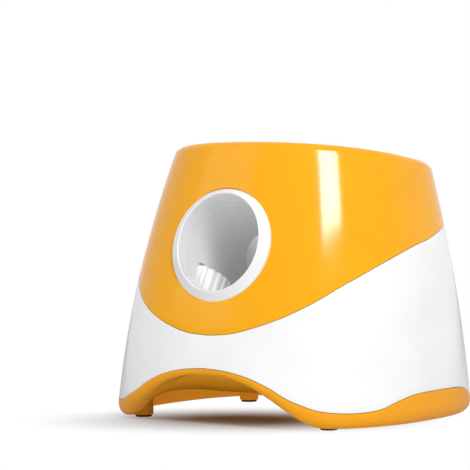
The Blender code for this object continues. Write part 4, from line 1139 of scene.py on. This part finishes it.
def make_floor():
    """A floor that keeps the object's shadow in an oval patch, deepened there by its grey as painted shade,
    and glows white beyond it.
    """
    bm = bmesh.new()
    bmesh.ops.create_circle(bm, cap_ends=True, segments=96, radius=FLOOR_RADIUS)
    floor = add_object("floor", mesh_from(bm, "floor"))
    made = bpy.data.materials.new("floor")
    made.use_nodes = True
    tree = made.node_tree
    shader = tree.nodes["Principled BSDF"]
    # the grey shows where the glow fades out under the object, as painted shade
    shader.inputs["Base Color"].default_value = (*SHADOW_PATCH_GREY, 1)
    shader.inputs["Roughness"].default_value = .9
    shader.inputs["Specular IOR Level"].default_value = 0
    place = tree.nodes.new('ShaderNodeTexCoord')
    patch = tree.nodes.new('ShaderNodeMapping')
    patch.vector_type = 'TEXTURE'
    patch.inputs["Location"].default_value = (*SHADOW_CENTRE, 0)
    patch.inputs["Rotation"].default_value = (0, 0, SHADOW_TURN)
    patch.inputs["Scale"].default_value = (*SHADOW_REACH, 1)
    tree.links.new(place.outputs["Object"], patch.inputs["Vector"])
    reach = tree.nodes.new('ShaderNodeVectorMath')
    reach.operation = 'LENGTH'
    tree.links.new(patch.outputs["Vector"], reach.inputs[0])
    fade = tree.nodes.new('ShaderNodeMapRange')
    fade.interpolation_type = 'SMOOTHSTEP'
    fade.inputs["From Min"].default_value = SHADOW_CORE
    fade.inputs["From Max"].default_value = 1
    tree.links.new(reach.outputs["Value"], fade.inputs["Value"])
    rays = tree.nodes.new('ShaderNodeLightPath').outputs
    # the floor's glow also lights the object, as painted bounce light
    bounce = math_node(tree, 'MULTIPLY', rays["Is Diffuse Ray"], FLOOR_BOUNCE)
    kinds = math_node(tree, 'MAXIMUM', rays["Is Camera Ray"], bounce)
    both = math_node(tree, 'MULTIPLY', fade.outputs["Result"], kinds)
    glow = tree.nodes.new('ShaderNodeEmission')
    glow.inputs["Strength"].default_value = 1
    mixed = tree.nodes.new('ShaderNodeMixShader')
    tree.links.new(both, mixed.inputs["Fac"])
    tree.links.new(shader.outputs["BSDF"], mixed.inputs[1])
    tree.links.new(glow.outputs["Emission"], mixed.inputs[2])
    tree.links.new(mixed.outputs["Shader"], tree.nodes["Material Output"].inputs["Surface"])
    floor.data.materials.append(made)


def lamp(name, place, aim, width, height, power):
    """A rectangular softbox that faces a point."""
    light = bpy.data.lights.new(name, 'AREA')
    light.shape = 'RECTANGLE'
    light.size = width
    light.size_y = height
    light.energy = power
    item = bpy.data.objects.new(name, light)
    bpy.context.scene.collection.objects.link(item)
    item.location = place
    item.rotation_euler = (Vector(aim) - Vector(place)).to_track_quat('-Z', 'Y').to_euler()
    return item


def make_lamps():
    """A key and a fill, and a lamp behind the key that only brightens the key's streak in the gloss."""
    lamp("key", *KEY)
    streak = lamp("streak", *STREAK)
    streak.visible_diffuse = False
    lamp("fill", *FILL)


CAMERA_AZIMUTH = math.radians(33.4773)
CAMERA_DISTANCE = 1.9193
CAMERA_SHIFT_Y = -.003
CAMERA_HEIGHT = .2028
CAMERA_YAW = math.radians(1.5075)
CAMERA_PITCH = math.radians(-1.5215)
CAMERA_ROLL = math.radians(-.2342)
CAMERA_LENS = 172.88
CAMERA_SENSOR = 36


def make_camera():
    """The photograph's view, fitted to its outline and ring."""
    camera = bpy.data.cameras.new("photo_camera")
    camera.lens = CAMERA_LENS
    camera.sensor_width = CAMERA_SENSOR
    item = bpy.data.objects.new("photo_camera", camera)
    bpy.context.scene.collection.objects.link(item)
    yaw = CAMERA_AZIMUTH + CAMERA_YAW
    ahead = Vector((-math.sin(yaw), math.cos(yaw), 0)) * math.cos(CAMERA_PITCH)
    ahead.z = math.sin(CAMERA_PITCH)
    right = ahead.cross(Vector((0, 0, 1))).normalized()
    above = right.cross(ahead)
    across = right * math.cos(CAMERA_ROLL) + above * math.sin(CAMERA_ROLL)
    above = above * math.cos(CAMERA_ROLL) - right * math.sin(CAMERA_ROLL)
    place = Matrix((across, above, -ahead)).transposed().to_4x4()
    place.translation = (math.sin(CAMERA_AZIMUTH) * CAMERA_DISTANCE,
                         CAMERA_SHIFT_Y - math.cos(CAMERA_AZIMUTH) * CAMERA_DISTANCE, CAMERA_HEIGHT)
    item.matrix_world = place
    bpy.context.scene.camera = item


make_camera()
make_upper_shell()
make_lower_shell()
make_base()
make_foot_pads()
make_battery_door()
make_muzzle_ring()
make_launch_barrel()
make_hopper_bowl()
for word, side in (("left", -1), ("right", 1)):
    make_tyre(word, side)
    make_hub(word, side)
make_control_panel()
make_button("power_button", POWER_BUTTON_X, "button_orange", "power_key")
make_button("distance_button", DISTANCE_BUTTON_X, "button_grey", "distance_key")
make_marks()
make_lenses()
make_dc_jack()
finish_nodes()
make_world()
make_floor()
make_lamps()
for cutter_object in CUTTERS:
    bpy.data.objects.remove(cutter_object, do_unlink=True)
bpy.context.scene.view_settings.view_transform = 'Standard'
